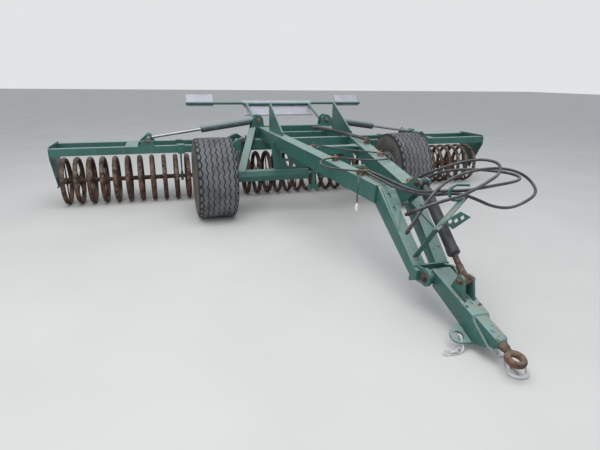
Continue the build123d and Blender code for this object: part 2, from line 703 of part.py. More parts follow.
half_h = NOSE_H / 2
nose = nose_slab(((18, half_h), (NOSE_LONG, half_h), (NOSE_LONG, -half_h), (18, -half_h + 20)), -NOSE_W / 2, NOSE_W / 2)
nose += disc_x(NOSE_Y, NOSE_Z, 48, -97, 97)
for side in (1, -1):
    x0, x1 = side * LUG_HALF, side * (LUG_HALF + 16)
    nose += nose_slab(
        (
            (RAM_FOOT_OUT - 70, half_h - 1),
            (RAM_FOOT_OUT - 34, RAM_FOOT_UP + 20),
            (RAM_FOOT_OUT, RAM_FOOT_UP + 36),
            (RAM_FOOT_OUT + 34, RAM_FOOT_UP + 20),
            (RAM_FOOT_OUT + 80, half_h - 1),
        ),
        x0,
        x1,
    )
    nose += nose_slab(
        ((NOSE_LONG - 60, -half_h + 1), (NOSE_LONG - 10, -half_h + 1), (NOSE_LONG - 20, -half_h - 60), (NOSE_LONG - 55, -half_h - 60)),
        side * 55,
        side * 71,
    )
nose -= disc_x(NOSE_Y, NOSE_Z, NOSE_PIN_R + CLEAR, -120, 120)
collar = nose_slab(((NOSE_LONG - 1, 52), (NOSE_LONG + 130, 46), (NOSE_LONG + 130, -46), (NOSE_LONG - 1, -52)), -62, 62)
bore0 = nose_point(NOSE_LONG - 40, 0)
bore1 = nose_point(NOSE_LONG + 131, 0)
nose += collar
nose -= rod((0, *bore0), (0, *bore1), 30 + CLEAR)
save("nose_beam", nose)

# Hitch eye: shank in the collar and a forged ring
eye_y, eye_z = nose_point(EYE_REACH, 0)
shank0 = nose_point(NOSE_LONG - 20, 0)
shank1 = nose_point(NOSE_LONG + 150, 0)
neck1 = nose_point(EYE_REACH - EYE_R + 12, 0)
eye_plane = Plane(origin=(0, eye_y, eye_z), x_dir=(1, 0, 0), z_dir=(0, -sin(nose_down), cos(nose_down)))
eye = extrude(eye_plane * Circle(EYE_R), EYE_THICK / 2, both=True)
eye += rod((0, *shank0), (0, *shank1), 30)
eye += rod((0, *nose_point(NOSE_LONG + 134, 0)), (0, *neck1), 38)
eye -= extrude(eye_plane * Circle(EYE_BORE_R), EYE_THICK, both=True)
save("hitch_eye", eye)

# Nose ram
ram_foot_y, ram_foot_z = nose_point(RAM_FOOT_OUT, RAM_FOOT_UP)
ram_start = Vector(0, RAM_TOP_Y, RAM_TOP_Z)
ram_end = Vector(0, ram_foot_y, ram_foot_z)
ram_dir = (ram_end - ram_start).normalized()
ram_span = (ram_end - ram_start).length
RAM_BARREL = 520


def ram_at(distance):
    """Point on the nose ram's axis."""
    point = ram_start + ram_dir * distance
    return 0, point.Y, point.Z


ram_barrel = rod(ram_at(66), ram_at(RAM_BARREL), 40) + rod(ram_at(22), ram_at(70), 22)
ram_barrel += disc_x(RAM_TOP_Y, RAM_TOP_Z, 38, -EYE_W / 2, EYE_W / 2)
ram_barrel -= disc_x(RAM_TOP_Y, RAM_TOP_Z, PIN_R + CLEAR, -60, 60)
ram_barrel -= rod(ram_at(90), ram_at(RAM_BARREL + 1), 20 + CLEAR)
save("nose_ram_barrel", ram_barrel)
ram_rod = rod(ram_at(RAM_BARREL - 120), ram_at(ram_span - 26), 20)
ram_rod += disc_x(ram_foot_y, ram_foot_z, 34, -EYE_W / 2, EYE_W / 2)
save("nose_ram_rod", ram_rod)

# Marker boards, their tubes and the pads between them
lean = radians(BOARD_LEAN)
rail_path = FilletPolyline(
    (RAIL_X, TOWER_REAR_Y - 20, RAIL_FOOT_Z), (RAIL_X, RAIL_Y, RAIL_Z), (RAIL_END, RAIL_Y, RAIL_Z), radius=90
)
rail = sweep(Plane(origin=rail_path @ 0, z_dir=rail_path % 0) * Circle(RAIL_R), path=rail_path)
rail -= block(RAIL_X - 80, RAIL_X + 80, GANG_Y - 100, TOWER_REAR_Y, RAIL_FOOT_Z - 100, RAIL_FOOT_Z + 100)
MIDDLE_RAIL = (RAIL_Y - 12, RAIL_Z - 12)


def against(x, rail_y, rail_z, above):
    """Plane on a board's front face, at a distance above its tube along the board."""
    off = RAIL_R + BOARD_GAP
    y = rail_y + off * cos(lean) + above * sin(lean)
    z = rail_z - off * sin(lean) + above * cos(lean)
    return Plane(origin=(x, y, z), x_dir=(1, 0, 0), z_dir=(0, -cos(lean), sin(lean)))


rails = rail + mirror(rail, about=Plane.YZ)
rails += disc_x(*MIDDLE_RAIL, RAIL_R, -RAIL_X, RAIL_X)
for x in (-245, 245):
    rails += extrude(against(x, *MIDDLE_RAIL, 0) * Rectangle(50, 34), BOARD_GAP + 8)
for x in (-1330, -1090, 1090, 1330):
    rails += extrude(against(x, RAIL_Y, RAIL_Z, 0) * Rectangle(40, 30), BOARD_GAP + 8)
save("marker_rail", rails)


def board(x0, x1, rail_at, height, above):
    """Marker board that leans back, its middle a distance above its tube along the board."""
    plane = against((x0 + x1) / 2, *rail_at, above)
    return extrude(plane * Rectangle(abs(x1 - x0), height), -BOARD_T)


save("centre_marker_board", board(-555, 555, MIDDLE_RAIL, 290, -50))
for name, side in SIDES:
    save(f"{name}_marker_board", board(side * 1010, side * 1408, (RAIL_Y, RAIL_Z), 215, 92))
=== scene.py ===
"""Dresses a towed ring roller around its CAD frame: tread, cast rings, hoses, fastenings, finishes."""
import json
import math

import bmesh
import bpy
import numpy as np
from bpy.props import FloatProperty, FloatVectorProperty, PointerProperty
from bpy.types import Operator, Panel, PropertyGroup
from mathutils import Matrix, Vector
from mathutils.geometry import tessellate_polygon


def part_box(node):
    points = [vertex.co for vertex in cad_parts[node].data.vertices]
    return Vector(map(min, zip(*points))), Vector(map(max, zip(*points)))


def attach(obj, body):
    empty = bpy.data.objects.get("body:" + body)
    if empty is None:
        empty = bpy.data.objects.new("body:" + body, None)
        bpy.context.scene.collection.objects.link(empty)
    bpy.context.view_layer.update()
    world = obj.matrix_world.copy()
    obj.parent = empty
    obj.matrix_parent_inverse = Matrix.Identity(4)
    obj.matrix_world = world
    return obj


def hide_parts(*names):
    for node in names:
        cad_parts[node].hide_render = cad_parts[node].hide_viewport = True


bl_info = {
    "name": "Land roller dressing",
    "version": (1, 0, 0),
    "blender": (4, 5, 0),
    "location": "View3D > Sidebar > Roller",
    "description": "Tread, cast rings, hoses, fastenings and finishes of a towed ring roller",
    "category": "Object",
}

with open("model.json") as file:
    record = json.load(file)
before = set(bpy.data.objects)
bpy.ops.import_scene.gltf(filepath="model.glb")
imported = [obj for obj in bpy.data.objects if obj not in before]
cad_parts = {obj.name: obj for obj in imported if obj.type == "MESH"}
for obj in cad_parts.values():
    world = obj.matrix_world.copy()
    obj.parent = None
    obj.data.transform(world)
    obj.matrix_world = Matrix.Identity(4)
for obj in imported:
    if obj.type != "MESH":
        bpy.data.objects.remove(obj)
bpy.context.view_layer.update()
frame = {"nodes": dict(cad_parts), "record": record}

# Places taken from the frame, in metres
FRONT_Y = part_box("centre_gang_frame")[0].y
REAR_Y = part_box("centre_gang_frame")[1].y
GANG_Y = (FRONT_Y + REAR_Y) / 2
WHEEL_LOW, WHEEL_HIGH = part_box("left_tyre")
WHEEL_X = (WHEEL_LOW.x + WHEEL_HIGH.x) / 2
WHEEL_Y = (WHEEL_LOW.y + WHEEL_HIGH.y) / 2
TYRE_R = (WHEEL_HIGH.z - WHEEL_LOW.z) / 2
TYRE_HALF = (WHEEL_HIGH.x - WHEEL_LOW.x) / 2
HALF_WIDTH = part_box("left_wing_end_plate")[1].x

# Rings, as the frame has them: END_GAP is from the end plate's outer face to the outermost ring's middle
RING_LOW, RING_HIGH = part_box("left_ring_gang")
RING_R = (RING_HIGH.z - RING_LOW.z) / 2
AXLE_Z = (RING_HIGH.z + RING_LOW.z) / 2
RING_PITCH = 0.1524
RING_HALF = 0.029
RIM_DEPTH = 0.042
END_GAP = 0.095
OUTER_RING_X = HALF_WIDTH - END_GAP
WING_RINGS = 15
CENTRE_RINGS = 10
SIDES = (("left", 1), ("right", -1))

# Routes of the hoses and the cable, as (x, y from the gang frames' front face, z); minus y is ahead of it
ROUTES = {
    "hose_loop_a": (
        (0.135, -2.77, 0.809), (0.147, -2.84, 0.845), (0.18, -2.91, 0.894), (0.236, -2.98, 0.942),
        (0.314, -3.04, 0.989), (0.412, -3.085, 1.02), (0.524, -3.14, 1.04), (0.587, -3.245, 1.022),
        (0.496, -3.352, 0.969), (0.299, -3.47, 0.948), (0.119, -3.56, 0.924), (-0.022, -3.6, 0.897),
        (-0.141, -3.604, 0.88), (-0.245, -3.602, 0.854), (-0.334, -3.6, 0.827),
    ),
    "hose_loop_b": (
        (-0.15, -2.515, 0.847), (-0.143, -2.64, 0.838), (-0.133, -2.79, 0.828), (-0.14, -2.95, 0.826),
        (-0.121, -3.07, 0.82), (-0.086, -3.175, 0.819), (-0.058, -3.275, 0.83), (-0.032, -3.37, 0.852),
        (0.005, -3.45, 0.88), (0.061, -3.525, 0.893), (0.166, -3.548, 0.853), (0.311, -3.53, 0.79),
        (0.497, -3.49, 0.75), (0.683, -3.43, 0.761), (0.846, -3.375, 0.806), (0.888, -3.28, 0.868),
        (0.822, -3.205, 0.935), (0.672, -3.19, 0.972), (0.49, -3.222, 0.984), (0.31, -3.268, 0.98),
        (0.14, -3.325, 0.964), (-0.01, -3.392, 0.929), (-0.124, -3.445, 0.866), (-0.215, -3.478, 0.776),
        (-0.278, -3.49, 0.69),
    ),
    "hose_loop_c": (
        (0.172, -2.768, 0.809), (0.22, -2.83, 0.83), (0.261, -2.9, 0.884), (0.328, -2.97, 0.925),
        (0.42, -3.03, 0.945), (0.529, -3.08, 0.947), (0.629, -3.13, 0.941), (0.705, -3.205, 0.938),
        (0.728, -3.3, 0.93), (0.655, -3.385, 0.924), (0.52, -3.43, 0.92), (0.37, -3.462, 0.918),
        (0.215, -3.49, 0.912), (0.09, -3.495, 0.904), (0.005, -3.43, 0.896), (-0.075, -3.371, 0.878),
        (-0.1, -3.276, 0.854), (-0.117, -3.144, 0.85), (-0.118, -2.987, 0.85), (-0.11, -2.82, 0.848),
        (-0.114, -2.655, 0.852), (-0.122, -2.515, 0.85),
    ),
    "hose_crossing": (
        (-0.24, -1.4, 0.915), (-0.205, -1.48, 0.928), (-0.126, -1.58, 0.92), (0.008, -1.667, 0.907),
        (0.14, -1.752, 0.9), (0.248, -1.857, 0.901), (0.327, -1.984, 0.898), (0.297, -2.133, 0.883),
        (0.177, -2.151, 0.876), (0.053, -2.081, 0.868), (-0.087, -2.018, 0.875), (-0.242, -2.016, 0.891),
        (-0.384, -2.069, 0.891), (-0.476, -2.217, 0.878), (-0.432, -2.356, 0.867), (-0.339, -2.426, 0.861),
        (-0.215, -2.484, 0.852),
    ),
    "light_cable": (
        (-0.19, -2.518, 0.848), (-0.249, -2.593, 0.847), (-0.293, -2.668, 0.806), (-0.309, -2.698, 0.735),
        (-0.319, -2.721, 0.64),
    ),
}
# One line for each cord: name of its route, diameter, length, far end and the piece on that end
CORDS = (
    ("hose_loop_a", 0.022, 1.774, "connector", "hose_coupler_a"),
    ("hose_loop_b", 0.022, 3.365, "connector", "hose_coupler_b"),
    ("hose_loop_c", 0.022, 2.572, "object", None),
    ("hose_crossing", 0.016, 2.238, "object", None),
    ("light_cable", 0.011, 0.373, "plug", "light_plug"),
)


# Sizes and colours that a user would change
class RollerColours(PropertyGroup):
    """Colours of the roller's finishes, before dust and wear."""

    green: FloatVectorProperty(
        name="Green paint", description="Colour of the frame's paint", subtype="COLOR",
        default=(0.030, 0.121, 0.103),
    )
    rust: FloatVectorProperty(
        name="Rust", description="Colour of rust on paint and castings", subtype="COLOR",
        default=(0.15, 0.058, 0.03),
    )
    dust: FloatVectorProperty(
        name="Dust", description="Colour of dry soil and dust", subtype="COLOR",
        default=(0.30, 0.24, 0.185),
    )
    rubber: FloatVectorProperty(
        name="Rubber", description="Colour of tyres and hoses", subtype="COLOR",
        default=(0.028, 0.028, 0.03),
    )
    board: FloatVectorProperty(
        name="Board", description="Colour of the marker boards", subtype="COLOR",
        default=(0.46, 0.46, 0.52),
    )


class RollerSizes(PropertyGroup):
    """Sizes of the tread and the fastenings."""

    tread_depth: FloatProperty(
        name="Tread depth", description="Depth of the tyres' grooves", unit="LENGTH",
        default=0.011, min=0,
    )
    bolt_r: FloatProperty(
        name="Bolt", description="Radius of a bolt's head, across its corners", unit="LENGTH",
        default=0.013, min=0.004,
    )
    nut_r: FloatProperty(
        name="Wheel nut", description="Radius of a wheel nut, across its corners", unit="LENGTH",
        default=0.017, min=0.004,
    )
    washer: FloatProperty(
        name="Washer", description="A washer's radius as a multiple of its bolt's",
        default=1.45, min=1,
    )


class RollerStage(PropertyGroup):
    """Camera and floor."""

    camera_at: FloatVectorProperty(
        name="Camera", description="Place of the camera", subtype="TRANSLATION",
        default=(-1.7987, FRONT_Y - 5.8601, 1.5974),
    )
    lens: FloatProperty(
        name="Lens", description="Focal length on a 36 mm sensor",
        default=26.068, min=1,
    )
    turn: FloatProperty(
        name="Turn", description="Heading of the camera, from +Y towards +X", subtype="ANGLE",
        default=math.radians(17.552),
    )
    fall: FloatProperty(
        name="Fall", description="How far the camera looks down", subtype="ANGLE",
        default=math.radians(18.572),
    )
    roll: FloatProperty(
        name="Roll", description="Roll of the camera about its own line of sight", subtype="ANGLE",
        default=math.radians(-0.794),
    )
    floor: FloatVectorProperty(
        name="Floor", description="Colour of the floor", subtype="COLOR",
        default=(0.62, 0.61, 0.59),
    )


# Meshes from grids of points: gap at which points merge, in metres, bend from which an edge is rounded
MERGE_GAP = 2e-6
ROUND_FROM = 0.7
# Share of an axis's length that rises, from which it is upright
UPRIGHT = 0.9


def grid_quads(rows, columns, wrap_rows, wrap_columns):
    """Quads between neighbours of a grid, as point numbers; a wrapped direction closes on itself."""
    row = np.arange(rows if wrap_rows else rows - 1)
    column = np.arange(columns if wrap_columns else columns - 1)
    row, column = np.meshgrid(row, column, indexing="ij")
    next_row, next_column = (row + 1) % rows, (column + 1) % columns
    corners = (row * columns + column, next_row * columns + column,
               next_row * columns + next_column, row * columns + next_column)
    return np.stack(corners, -1).reshape(-1, 4)


class Sheets:
    """Grids of points gathered into one mesh."""

    def __init__(self):
        self.points = []
        self.quads = []
        self.count = 0

    def add(self, grid, wrap_rows=False, wrap_columns=False, places=((0, 0, 0),)):
        """Adds a grid of points at each of several places."""
        rows, columns, _ = grid.shape
        places = np.asarray(places, float)
        self.points.append((grid.reshape(1, -1, 3) + places[:, None, :]).reshape(-1, 3))
        quads = grid_quads(rows, columns, wrap_rows, wrap_columns)
        steps = self.count + rows * columns * np.arange(len(places))
        self.quads += (quads[None] + steps[:, None, None]).reshape(-1, 4).tolist()
        self.count += rows * columns * len(places)

    def ruled(self, near, far):
        """Adds a solid between two flat outlines that match point for point."""
        count = len(near)
        self.add(np.stack([near, far]), wrap_columns=True)
        first = self.count - 2 * count
        self.quads.append(list(range(first, first + count)))
        self.quads.append(list(range(first + count, first + 2 * count))[::-1])

    def prism(self, loops, offset):
        """Adds a plate: a flat outline, and any holes after it, swept by an offset and filled."""
        starts = []
        for loop in loops:
            starts.append(self.count)
            flat = np.asarray(loop, float)
            self.add(np.stack([flat, flat + offset]), wrap_columns=True)
        corners = [start + k for start, loop in zip(starts, loops) for k in range(len(loop))]
        shifts = [len(loop) for loop in loops for _ in loop]
        for triangle in tessellate_polygon([[Vector(point) for point in loop] for loop in loops]):
            self.quads.append([corners[k] for k in triangle])
            self.quads.append([corners[k] + shifts[k] for k in reversed(triangle)])

    def piece(self, name, body, material, slot, replaces=(), smooth=35, bevel=0.0):
        """Makes the mesh object: seams closed, edges rounded, faces outwards, riding on a body."""
        mesh = bpy.data.meshes.new(name)
        mesh.from_pydata(np.concatenate(self.points), [], self.quads)
        shape = bmesh.new()
        shape.from_mesh(mesh)
        bmesh.ops.remove_doubles(shape, verts=shape.verts, dist=MERGE_GAP)
        if bevel:
            edges = [e for e in shape.edges if e.is_manifold and e.calc_face_angle() > ROUND_FROM]
            bmesh.ops.bevel(
                shape, geom=edges, offset=bevel, segments=2, profile=0.5, affect="EDGES", clamp_overlap=True
            )
        bmesh.ops.recalc_face_normals(shape, faces=shape.faces)
        shape.to_mesh(mesh)
        shape.free()
        made = bpy.data.objects.new(name, mesh)
        bpy.context.scene.collection.objects.link(made)
        mesh.materials.append(material)
        mesh.shade_smooth()
        mesh.set_sharp_from_angle(angle=math.radians(smooth))
        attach(made, body)
        if replaces:
            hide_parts(*replaces)
        return made


def turned(profile, segments, origin, axis, start=0.0):
    """A profile of (distance, radius) turned about an axis: at each distance a circle of that radius."""
    along, radius = np.asarray(profile, float).T
    axis = np.asarray(axis, float) / np.linalg.norm(axis)
    side = np.cross(axis, (0, 0, 1) if abs(axis[2]) < UPRIGHT else (1, 0, 0))
    side /= np.linalg.norm(side)
    other = np.cross(axis, side)
    angle = start + np.linspace(0, 2 * math.pi, segments, endpoint=False)
    ring = np.cos(angle)[:, None] * side + np.sin(angle)[:, None] * other
    return np.asarray(origin) + along[:, None, None] * axis + radius[:, None, None] * ring[None]


def carried(path, radius, segments, level=(0, 0, 1)):
    """A circle carried along a path: at each point it stands square to the path's direction."""
    path = np.asarray(path, float)
    ahead = np.gradient(path, axis=0)
    ahead /= np.linalg.norm(ahead, axis=1)[:, None]
    side = np.cross(ahead, level)
    side /= np.linalg.norm(side, axis=1)[:, None]
    other = np.cross(side, ahead)
    angle = np.linspace(0, 2 * math.pi, segments, endpoint=False)
    radius = np.broadcast_to(radius, (len(path), segments))[..., None]
    ring = np.cos(angle)[None, :, None] * side[:, None] + np.sin(angle)[None, :, None] * other[:, None]
    return path[:, None] + radius * ring


def closed_ends(grid):
    """A carried grid with a pole at each end."""
    first = np.broadcast_to(grid[:1].mean(axis=1, keepdims=True), grid[:1].shape)
    last = np.broadcast_to(grid[-1:].mean(axis=1, keepdims=True), grid[-1:].shape)
    return np.concatenate([first, grid, last])


# Shader maths
class Wire:
    """A node's socket that takes part in sums: each operator adds the Math node that works it out."""

    def __init__(self, finish, socket):
        self.finish = finish
        self.socket = socket

    def maths(self, operation, first, second):
        """Adds a Math node on two values."""
        return self.finish.node("ShaderNodeMath", {"operation": operation}, {0: first, 1: second})

    def __add__(self, other):
        return self.maths("ADD", self, other)

    __radd__ = __add__

    def __sub__(self, other):
        return self.maths("SUBTRACT", self, other)

    def __rsub__(self, other):
        return self.maths("SUBTRACT", other, self)

    def __mul__(self, other):
        return self.maths("MULTIPLY", self, other)

    __rmul__ = __mul__

    def __pow__(self, other):
        return self.maths("POWER", self, other)

    def __rpow__(self, other):
        return self.maths("POWER", other, self)


class Finish:
    """The nodes of one material, with the patterns that several finishes share."""

    def __init__(self, name):
        self.material = bpy.data.materials.new(name)
        self.material.use_nodes = True
        self.tree = self.material.node_tree
        self.tree.nodes.clear()
        self.at = self.node("ShaderNodeTexCoord", output="Object")
        self.facing = self.node("ShaderNodeTexCoord", output="Normal")

    def node(self, kind, settings=None, inputs=None, output=0):
        """Adds a node, sets it, fills or links its sockets and returns one of its outputs."""
        made = self.tree.nodes.new(kind)
        for name, value in (settings or {}).items():
            setattr(made, name, value)
        for key, value in (inputs or {}).items():
            if isinstance(value, Wire):
                self.tree.links.new(value.socket, made.inputs[key])
            else:
                made.inputs[key].default_value = value
        return Wire(self, made.outputs[output])

    def noise(self, scale, detail=4.0, rough=0.55, stretch=(1, 1, 1), shift=(0, 0, 0)):
        """Cloudy pattern, in waves per metre, stretched along the axes."""
        place = self.node(
            "ShaderNodeMapping", None, {"Vector": self.at, "Scale": stretch, "Location": shift}
        )
        return self.node(
            "ShaderNodeTexNoise", None,
            {"Vector": place, "Scale": scale, "Detail": detail, "Roughness": rough},
        )

    def step(self, value, low, high):
        """Smooth step from 0 at low to 1 at high."""
        return self.node(
            "ShaderNodeMapRange", {"interpolation_type": "SMOOTHSTEP"},
            {"Value": value, "From Min": low, "From Max": high},
        )

    def mix(self, share, first, second):
        """A colour between two others."""
        first, second = ((*c, 1.0) if isinstance(c, tuple) and len(c) == 3 else c for c in (first, second))
        return self.node("ShaderNodeMix", {"data_type": "RGBA"}, {0: share, 6: first, 7: second}, output=2)

    def part(self, vector, axis):
        """One coordinate of a vector."""
        return self.node("ShaderNodeSeparateXYZ", None, {0: vector}, output=axis)

    def from_axle(self, y, z):
        """Distance from an axle that lies along x."""
        y = self.part(self.at, "Y") - y
        z = self.part(self.at, "Z") - z
        return (y * y + z * z) ** 0.5

    def close(self, colour, rough, height, depth, metallic=0.0):
        """Joins colour, roughness and relief to the surface shader and ends the tree with it."""
        relief = self.node(
            "ShaderNodeBump", None, {"Height": height, "Distance": depth, "Strength": 1.0}
        )
        shader = self.node(
            "ShaderNodeBsdfPrincipled", None,
            {"Base Color": colour, "Roughness": rough, "Metallic": metallic, "Normal": relief},
        )
        end = self.tree.nodes.new("ShaderNodeOutputMaterial")
        self.tree.links.new(shader.socket, end.inputs["Surface"])
        return self.material


# Colours that the finishes mix in and the sidebar doesn't set
# Pale teal that the paint takes on its top faces: fading by sun together with painted sky light
SUN_FADED_AND_SKY_LIT = (0.42, 0.62, 0.60)
TREAD_GREY = (0.060, 0.066, 0.073)
TREAD_WORN = (0.20, 0.205, 0.208)
SIDE_WALL = (0.13, 0.135, 0.14)
CHROME = (0.32, 0.335, 0.35)
SPECKS = (0.12, 0.08, 0.05)
HOSE_DUST = (0.16, 0.165, 0.17)
WRAP_BAND = (0.105, 0.10, 0.10)
CLAMP_RUST = (0.25, 0.14, 0.09)
FITTING_STEEL = (0.035, 0.032, 0.032)
RIM_PAINT = (0.33, 0.34, 0.33)
BARREL_PAINT = (0.075, 0.10, 0.115)
BARREL_DUST = (0.27, 0.29, 0.31)
RAM_PAINT = (0.010, 0.014, 0.026)
ZINC = (0.62, 0.63, 0.64)
PLUG_PLASTIC = (0.62, 0.62, 0.58)

# Depths below the tyre's outside, in metres: the grooves' floor, the worn crown, then the side wall's colour
GROOVE_FLOOR = 0.0105
CROWN_SKIN = 0.0075
WALL_FULL = 0.06
WALL_EDGE = 0.018
# Distances from the axle between which soil thickens on a ring, in metres
SOIL_FROM = 0.255
SOIL_FULL = 0.30
# Waves, in radians per metre: rings of the side wall outwards, bands of the wrap along y and along x
WALL_RINGS = 420
WRAP_WAVES = (210, 60)


def paint(name, base, dust, rust, wear=0.5, dusty=0.55, gloss=0.34, pale=0.85):
    """Old gloss paint: clouded; faded by sun, dusty and paler from painted sky light on top; with rusty
    chips and dirt run down the sides.
    """
    finish = Finish(name)
    cloud = finish.noise(3.1, 5)
    grain = finish.noise(95, 3, 0.7)
    up = finish.part(finish.facing, "Z")
    faded_and_sky_lit = tuple(0.55 * a + 0.45 * b for a, b in zip(base, SUN_FADED_AND_SKY_LIT))
    colour = finish.mix(finish.step(cloud, 0.35, 0.7), base, tuple(0.72 * c for c in base))
    # Top faces turn paler, as much as the share pale: fading by sun together with painted sky light
    colour = finish.mix(finish.step(up, 0.25, 0.95) * pale, colour, faded_and_sky_lit)
    lying = finish.step(up, 0.2, 0.95) * finish.step(finish.noise(11, 6, 0.65) + grain * 0.35, 0.52, 0.86)
    runs = finish.step(finish.noise(16, 5, 0.6, stretch=(1, 1, 0.12)), 0.54, 0.78)
    dirt = finish.node("ShaderNodeMath", {"operation": "MAXIMUM"}, {0: lying, 1: runs * 0.45})
    colour = finish.mix(dirt * dusty, colour, dust)
    flakes = finish.noise(34, 9, 0.68, shift=(2.3, 0.7, 5.1)) + finish.noise(5.2, 3, 0.5) * 0.35
    bare = finish.step(flakes, 0.90 - 0.12 * wear, 0.93 - 0.12 * wear)
    edge = finish.step(flakes, 0.865 - 0.12 * wear, 0.90 - 0.12 * wear)
    colour = finish.mix(edge * 0.55, colour, tuple(1.5 * c for c in base))
    rusty = finish.mix(finish.step(grain, 0.4, 0.65), rust, tuple(0.45 * c for c in rust))
    colour = finish.mix(bare, colour, rusty)
    rough = gloss + cloud * 0.12 + dirt * 0.38 + bare * 0.35
    return finish.close(colour, rough, grain * 0.35 - bare * 0.8 + dirt * 0.4, 0.0009)


def rusted(name, rust, dust, axle=None, dusty=0.6, depth=0.0016):
    """Rusted casting: dark and light rust in clouds, pits, and dry soil, thick near the rim of a ring."""
    finish = Finish(name)
    cloud = finish.noise(7.5, 6, 0.62)
    pits = finish.noise(130, 4, 0.7)
    dark = tuple(0.16 * c for c in rust)
    colour = finish.mix(finish.step(cloud + pits * 0.2, 0.54, 0.80), dark, rust)
    fresh = (rust[0] * 1.7, rust[1] * 1.9, rust[2] * 2.0)
    colour = finish.mix(finish.step(pits, 0.52, 0.72) * 0.6, colour, fresh)
    soil = finish.step(finish.noise(19, 7, 0.7) + finish.part(finish.facing, "Z") * 0.14, 0.46, 0.70)
    if axle is not None:
        soil = soil * (0.35 + 0.65 * finish.step(finish.from_axle(*axle), SOIL_FROM, SOIL_FULL))
    colour = finish.mix(soil * dusty, colour, dust)
    return finish.close(colour, 0.72 + soil * 0.2, pits * 0.6 + cloud * 0.6 + soil * 0.5, depth)


def tyre_rubber(name, rubber, dust):
    """Dusty tyre: a pale worn crown, dark grooves and a greyer side wall with faint rings."""
    finish = Finish(name)
    radius = finish.from_axle(WHEEL_Y, TYRE_R)
    grain = finish.noise(140, 4, 0.7)
    cloud = finish.noise(6, 6, 0.6)
    wall = 1 - finish.step(radius, TYRE_R - WALL_FULL, TYRE_R - WALL_EDGE)
    crown = finish.step(radius, TYRE_R - GROOVE_FLOOR, TYRE_R - CROWN_SKIN)
    soil = finish.step(cloud + grain * 0.35, 0.45, 0.80)
    specks = finish.step(finish.noise(60, 6, 0.75, shift=(1, 5, 2)), 0.52, 0.62)
    grey = tuple(0.6 * a + 0.4 * b for a, b in zip(SIDE_WALL, dust))
    worn = finish.mix(soil * 0.55 + specks * 0.4, TREAD_GREY, TREAD_WORN)
    colour = finish.mix(crown, tuple(0.6 * c for c in rubber), worn)
    colour = finish.mix(wall * (0.30 + soil * 0.25), colour, grey)
    rings = finish.node("ShaderNodeMath", {"operation": "SINE"}, {0: radius * WALL_RINGS})
    return finish.close(colour, 0.78 + soil * 0.15, grain * 0.5 + wall * rings * 0.25, 0.0012)


def galvanised(name, base, dust, scale=38.0, rough=0.42, metallic=0.55, dirty=0.4):
    """Weathered zinc: faint spangles, white bloom and dirt."""
    finish = Finish(name)
    spangle = finish.node(
        "ShaderNodeTexVoronoi", None, {"Vector": finish.at, "Scale": scale}, output="Color"
    )
    tone = finish.part(spangle, 0)
    cloud = finish.noise(6.5, 5, 0.6)
    fine = finish.noise(120, 3, 0.6)
    colour = finish.mix(tone * 0.55, base, tuple(0.72 * c for c in base))
    bloom = tuple(min(1, 1.25 * c) for c in base)
    colour = finish.mix(finish.step(cloud, 0.45, 0.75) * 0.45, colour, bloom)
    marks = finish.step(finish.noise(9, 8, 0.72, stretch=(1, 0.5, 0.5), shift=(4, 1, 2)), 0.55, 0.78)
    colour = finish.mix(marks * dirty, colour, dust)
    rough = rough + cloud * 0.18 + marks * 0.3
    return finish.close(colour, rough, fine * 0.3 + marks * 0.3, 0.0006, metallic)


def chrome(name, dust):
    """Chromed rod with a film of dust and a few specks."""
    finish = Finish(name)
    film = finish.step(finish.noise(14, 6, 0.7), 0.45, 0.75)
    specks = finish.step(finish.noise(190, 3, 0.6), 0.68, 0.74)
    colour = finish.mix(film * 0.3, CHROME, dust)
    colour = finish.mix(specks, colour, SPECKS)
    return finish.close(colour, 0.14 + film * 0.3, specks, 0.0004, 0.9)


def hose_rubber(name, rubber):
    """Hose cover: dull black with dust along its top and a faint cloth mark."""
    finish = Finish(name)
    up = finish.part(finish.facing, "Z")
    cloud = finish.noise(12, 5, 0.6)
    weave = finish.noise(420, 2, 0.5)
    dark, light = (tuple(share * c for c in rubber) for share in (0.6, 1.3))
    colour = finish.mix(finish.step(cloud, 0.4, 0.7), dark, light)
    share = finish.step(up, 0.2, 1.0) * (0.3 + 0.45 * finish.step(cloud, 0.42, 0.62))
    colour = finish.mix(share, colour, HOSE_DUST)
    return finish.close(colour, 0.34 + cloud * 0.2, weave, 0.0003)


def wrapped(name, rubber, dust):
    """Spiral wrap on a bundle of hoses: bands round it along the machine's length."""
    finish = Finish(name)
    run = finish.part(finish.at, "Y") * WRAP_WAVES[0] + finish.part(finish.at, "X") * WRAP_WAVES[1]
    band = finish.node("ShaderNodeMath", {"operation": "SINE"}, {0: run})
    cloud = finish.noise(10, 5, 0.65)
    colour = finish.mix(finish.step(band, -0.2, 0.5), rubber, WRAP_BAND)
    colour = finish.mix(finish.step(cloud, 0.45, 0.72) * 0.6, colour, tuple(0.6 * c for c in dust))
    return finish.close(colour, 0.55 + cloud * 0.2, band, 0.0016)


def plastic(name, base, dust):
    """Pale moulded plastic, dirty in patches."""
    finish = Finish(name)
    cloud = finish.noise(40, 6, 0.65)
    colour = finish.mix(finish.step(cloud, 0.48, 0.72) * 0.5, base, dust)
    return finish.close(colour, 0.42 + cloud * 0.2, finish.noise(300, 2), 0.0002)


def floor_finish(name, base):
    """Plain pale floor, a little clouded."""
    finish = Finish(name)
    cloud = finish.noise(0.9, 3, 0.5)
    colour = finish.mix(finish.step(cloud, 0.3, 0.7), base, tuple(0.95 * c for c in base))
    return finish.close(colour, 0.9, cloud, 0.001)


def colours():
    """The sidebar's green, rust, dust, rubber and board colours, as plain tuples."""
    held = bpy.context.scene.roller_colours
    return (tuple(getattr(held, name)) for name in ("green", "rust", "dust", "rubber", "board"))


FINISHES = {}


